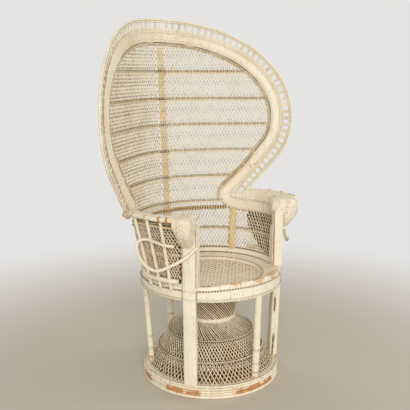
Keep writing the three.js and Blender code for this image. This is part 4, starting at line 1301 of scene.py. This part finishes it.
def makeHood(ending, side):
    tie = {"turns": 3.2, "pitch": 3.6, "strand": 3.4, "tone": 0.35}
    points = hoodRings(side, 170)
    lip = resample(points[:, 43], 200)
    woven, pillow = closeWeave(points, arm["cell"], arm["pillow"])
    bundle = Bundle()
    bundle.grid(woven, 0.5 + 0.5 * pillow, 0.04)
    rod(bundle, lip, upward, arm["rail"], 0.03, 12, wear=0.05)
    addPiece("arm_hood" + ending, bundle, weathered)

    # golden cane tied round the lip at its ends and over each spindle
    bundle = Bundle()
    places = np.degrees(np.arctan2(side * lip[:, 0], -lip[:, 1]))
    for angle in arm["tieSpots"]:
        i = min(int(np.argmin(np.abs(places - angle))), len(lip) - 2)
        coil(bundle, lip[i], lip[i + 1] - lip[i], arm["rail"] / 2 + 1.2, tie["turns"], tie["pitch"], tie["strand"],
             tie["tone"] + chance.normal(0, 0.15))
    addPiece("arm_ties" + ending, bundle, golden, "")

    # knuckle: the hood's front end, rolled over the pillar's head
    angle = side * pillar["angle"]
    crown, headTop = tub["armCrown"], levels("pillar_left")[1]
    low = crown - knuckle["height"] + knuckle["lift"]
    face = pillar["innerRadius"] + pillar["depth"]
    back, front = pillar["innerRadius"] - knuckle["overlap"], knuckle["outer"]
    shape = roundedProfile([(back, headTop), (face, headTop), (face, low), (face + knuckle["foot"], low),
                            (front, low + knuckle["slant"]), (front, crown), (back, crown)], knuckle["round"], 10)
    shape = resample(shape, 300, closed=True)
    centre = np.array([(face + front) / 2 - knuckle["rollBack"], crown - knuckle["rollDrop"]])
    behind = math.tan(math.radians(wallStart - pillar["angle"]))
    rows = []
    for t in np.sin(np.linspace(-1, 1, 48) * np.pi / 2):
        grow = (1 - t ** 3) ** (1 / 3) if t > 0 else 0.45 + 0.55 * (1 - abs(t) ** 2.4) ** (1 / 2.4)
        hold = 1.0 if t > 0 else smooth(crown - shape[:, 1], 30, 80)[:, None]
        flat = centre + (shape - centre) * (1 - (1 - grow) * hold)
        aside = t * (knuckle["width"] / 2 if t > 0 else flat[:, 0] * behind + 2)
        aside = np.broadcast_to(aside, len(flat))[:, None]
        rows.append(polar(angle, flat[:, 0], flat[:, 1]) - side * sideways(angle) * aside)
    woven, pillow = closeWeave(np.array(rows), arm["cell"], knuckle["pillow"])
    bundle = Bundle()
    bundle.grid(woven, 0.3 + 0.7 * smooth(pillow, 0.1, 0.8), 0.04)
    addPiece("arm_knuckle" + ending, bundle, weathered)


def makeCone(ending, side):
    # woven cone outside the tub wall. angles gives its rear edge, as a start, a slope and a bend
    cone = {"angles": (84, 75, -62), "bulge": 16, "pitch": 12.0, "gap": 10.5, "edge": 8, "arc": 330, "span": 250,
            "rows": 6, "cord": (9, 4.8, 17.0)}
    lining = {"depth": 5.5, "pitch": 0.66, "width": 7.0, "paint": 0.85}
    foot, top = tub["foot"], levels("arm_cone_left")[1]
    start = math.radians(wallStart) * cone["arc"]
    span = (start, start + cone["span"])

    def riseAt(z):
        return np.clip((z - foot) / (top - foot), 0, 1)

    def coneEnd(z):
        first, second, third = cone["angles"]
        return first + second * riseAt(z) + third * riseAt(z)**2

    def onCone(a, z, depth):
        angle = np.degrees(a / cone["arc"])
        s = np.clip((angle - wallStart) / (coneEnd(z) - wallStart), 0, 1)
        swell = cone["bulge"] * riseAt(z) * np.sin(np.pi * s)
        return polar(side * angle, tubRadius(angle, z) + cone["gap"] + swell - depth, z)

    def coneEdges(z):
        return start, np.radians(coneEnd(z)) * cone["arc"]

    def hoodAndFootShade(z):
        # painted shade under the hood and at the foot
        return 0.2 + 0.8 * smooth(top - z, 8, 42) * smooth(z - foot, 0, 34)

    bundle = Bundle()
    weaveField(bundle, onCone, coneEdges, foot, top, span, 0.12, cone["pitch"], shade=hoodAndFootShade)
    z = np.linspace(foot, top, 120)
    rod(bundle, onCone(coneEdges(z)[1], z, 0.0), outwards(side * coneEnd(z)), cone["edge"], 0.2)
    for level in np.linspace(foot + 30, top - 14, cone["rows"]):
        a = np.linspace(start, coneEdges(level)[1], 60)
        rope(bundle, onCone(a, level, 0.0), outwards(side * np.degrees(a / cone["arc"])), *cone["cord"], tone=0.1,
             shadeDots=0.95)
    addPiece("arm_cone" + ending, bundle, lattice)

    # a dark inner layer of the cone: painted shade behind its weave
    bundle = Bundle()
    weaveField(bundle, lambda a, z, depth: onCone(a, z, depth + lining["depth"]), coneEdges, foot, top, span, 0.5,
               cone["pitch"] * lining["pitch"], lining["width"], lambda z: lining["paint"] * hoodAndFootShade(z))
    addPiece("arm_cone_lining" + ending, bundle, shaded, "")


def makeRods(ending, side):
    low, high = levels("arm_spindle_front_left")

    def spindleRadius(z):
        return arm["spindleFoot"] + (arm["outerRadius"] - 4 - arm["spindleFoot"]) * (z - low) / (high - low)

    z = np.linspace(low, high, 90)
    for rank, angle in zip(("front", "middle", "rear"), arm["spindles"]):
        bundle = Bundle()
        knobs = 1 + wander(90, 0.025, 14)
        rod(bundle, polar(side * angle, spindleRadius(z), z), outwards(side * angle), arm["spindle"],
            0.02 + chance.normal(0, 0.03), 14, grow=knobs)
        addPiece("arm_spindle_" + rank + ending, bundle, painted)

    # rail across the spindles' feet, and a golden one under the hood
    rail = {"from": 65, "footLevel": 486, "footSize": 18, "footTo": 104, "bendOut": 7, "outSpan": (64, 71),
            "bendIn": 16, "inSpan": (93, 104), "hoodLevel": 704, "hoodSize": 9, "hoodTo": 100, "hoodInset": 10}
    bundle = Bundle()
    turn = np.linspace(rail["from"], rail["footTo"], 70)
    away = rail["bendOut"] * smooth(turn, *rail["outSpan"]) - rail["bendIn"] * smooth(turn, *rail["inSpan"])
    path = polar(side * turn, spindleRadius(rail["footLevel"]) + away, rail["footLevel"])
    rod(bundle, path, outwards(side * turn), rail["footSize"], 0.02, 12)
    addPiece("arm_foot_rail" + ending, bundle, painted, node="")
    bundle = Bundle()
    turn = np.linspace(rail["from"], rail["hoodTo"], 70)
    path = polar(side * turn, spindleRadius(rail["hoodLevel"]) - rail["hoodInset"], rail["hoodLevel"])
    rod(bundle, path, outwards(side * turn), rail["hoodSize"], 0.1, 10)
    addPiece("arm_hood_rail" + ending, bundle, golden, "")

    # bent loop, as angle, share of the arm's outer radius, and drop below the crown in knuckle heights
    route = ((64.5, 0.9263, 0.87), (71, 0.9711, 0.824), (82, 0.9842, 0.733), (87, 1.0237, 0.824), (86, 1.0526, 1.092),
             (81.5, 1.0395, 1.428), (74.5, 0.9947, 1.603), (65.5, 0.9263, 1.42), (58, 0.8526, 1.206),
             (51.2, 0.8205, 0.931))
    spots = [polar(side * a, r * arm["outerRadius"], tub["armCrown"] - d * knuckle["height"]) for a, r, d in route]
    path = curveThrough(np.array(spots), 160)
    bundle = Bundle()
    rod(bundle, path, unitVector(path * [1, 1, 0]), arm["loop"], 0.03, 12, grow=1 + wander(160, 0.02, 20))
    addPiece("arm_loop" + ending, bundle, painted)


for armEnding, armSide in (("_left", 1), ("_right", -1)):
    for makeArmPart in (makeArmBands, makeHood, makeCone, makeRods):
        makeArmPart(armEnding, armSide)
print("arms done")


# Floor, light and camera

def makeStage():
    floor = {"radius": 2.6, "fadeFrom": 0.75, "fadeTo": 2.4, "color": srgb(198, 187, 169), "roughness": 0.8}
    mesh = bpy.data.meshes.new("floor")
    turn = np.linspace(0, 2 * np.pi, 97)[:-1]
    rim = [(floor["radius"] * math.cos(t), floor["radius"] * math.sin(t), -0.0005) for t in turn]
    mesh.from_pydata(rim, [], [list(range(96))])
    piece = bpy.data.objects.new("floor", mesh)
    bpy.context.collection.objects.link(piece)
    material = bpy.data.materials.new("floorPaint")
    material.use_nodes = True
    tree = material.node_tree
    shader = tree.nodes["Principled BSDF"]
    shader.inputs["Roughness"].default_value = floor["roughness"]
    shader.inputs["Base Color"].default_value = floor["color"]
    # the floor fades out into the backdrop
    measure = tree.nodes.new("ShaderNodeVectorMath")
    measure.operation = "LENGTH"
    tree.links.new(tree.nodes.new("ShaderNodeTexCoord").outputs["Object"], measure.inputs[0])
    fade = stepNode(tree, measure.outputs["Value"], floor["fadeFrom"], floor["fadeTo"])
    tree.links.new(mathNode(tree, "SUBTRACT", 1.0, fade), shader.inputs["Alpha"])
    mesh.materials.append(material)

    # white light from all round, and a grey backdrop for what is seen or mirrored
    sky = {"color": srgb(229, 228, 227), "light": 0.44}
    world = bpy.data.worlds.new("studio")
    bpy.context.scene.world = world
    world.use_nodes = True
    tree = world.node_tree
    tree.nodes.clear()
    soft, seen = (tree.nodes.new("ShaderNodeBackground") for _ in range(2))
    soft.inputs["Color"].default_value = (1.0, 1.0, 1.0, 1)
    soft.inputs["Strength"].default_value = sky["light"]
    seen.inputs["Color"].default_value = sky["color"]
    seen.inputs["Strength"].default_value = 1.0
    rays = tree.nodes.new("ShaderNodeLightPath").outputs
    most = mathNode(tree, "MAXIMUM", rays["Is Glossy Ray"], rays["Is Transmission Ray"])
    most = mathNode(tree, "MAXIMUM", rays["Is Camera Ray"], most)
    blend = tree.nodes.new("ShaderNodeMixShader")
    tree.links.new(most, blend.inputs["Fac"])
    tree.links.new(soft.outputs[0], blend.inputs[1])
    tree.links.new(seen.outputs[0], blend.inputs[2])
    tree.links.new(blend.outputs[0], tree.nodes.new("ShaderNodeOutputWorld").inputs["Surface"])

    # place and power of each lamp
    lamps = {"size": 3.0, "target": (0, 0, 0.75), "keyLight": ((-3.7, -5.0, 2.7), 276),
             "fillLight": ((3.6, -2.4, 2.6), 50), "backLight": ((0.8, 4.2, 3.2), 50)}
    for name in ("keyLight", "fillLight", "backLight"):
        spot, power = lamps[name]
        lamp = bpy.data.lights.new(name, "AREA")
        lamp.shape = "SQUARE"
        lamp.size = lamps["size"]
        lamp.energy = power
        piece = bpy.data.objects.new(name, lamp)
        piece.location = spot
        piece.rotation_euler = (Vector(lamps["target"]) - Vector(spot)).to_track_quat("-Z", "Y").to_euler()
        bpy.context.collection.objects.link(piece)


def makeCamera():
    view = {"distance": 2725.5, "height": 1271.3, "side": -41.84, "turn": 0.51, "tilt": 11.27, "lens": 58.47}
    camera = bpy.data.cameras.new("camera")
    camera.lens = view["lens"]
    camera.sensor_width = 36
    piece = bpy.data.objects.new("camera", camera)
    piece.location = (polar(view["side"], view["distance"], view["height"]) + axisShift) * unit
    heading = math.radians(view["side"] + view["turn"])
    tilt = math.radians(view["tilt"])
    aim = Vector((-math.sin(heading) * math.cos(tilt), math.cos(heading) * math.cos(tilt), -math.sin(tilt)))
    piece.rotation_euler = aim.to_track_quat("-Z", "Y").to_euler()
    bpy.context.collection.objects.link(piece)
    bpy.context.scene.camera = piece


makeStage()
makeCamera()
bpy.context.scene.view_settings.view_transform = "Standard"

print("scene ready")
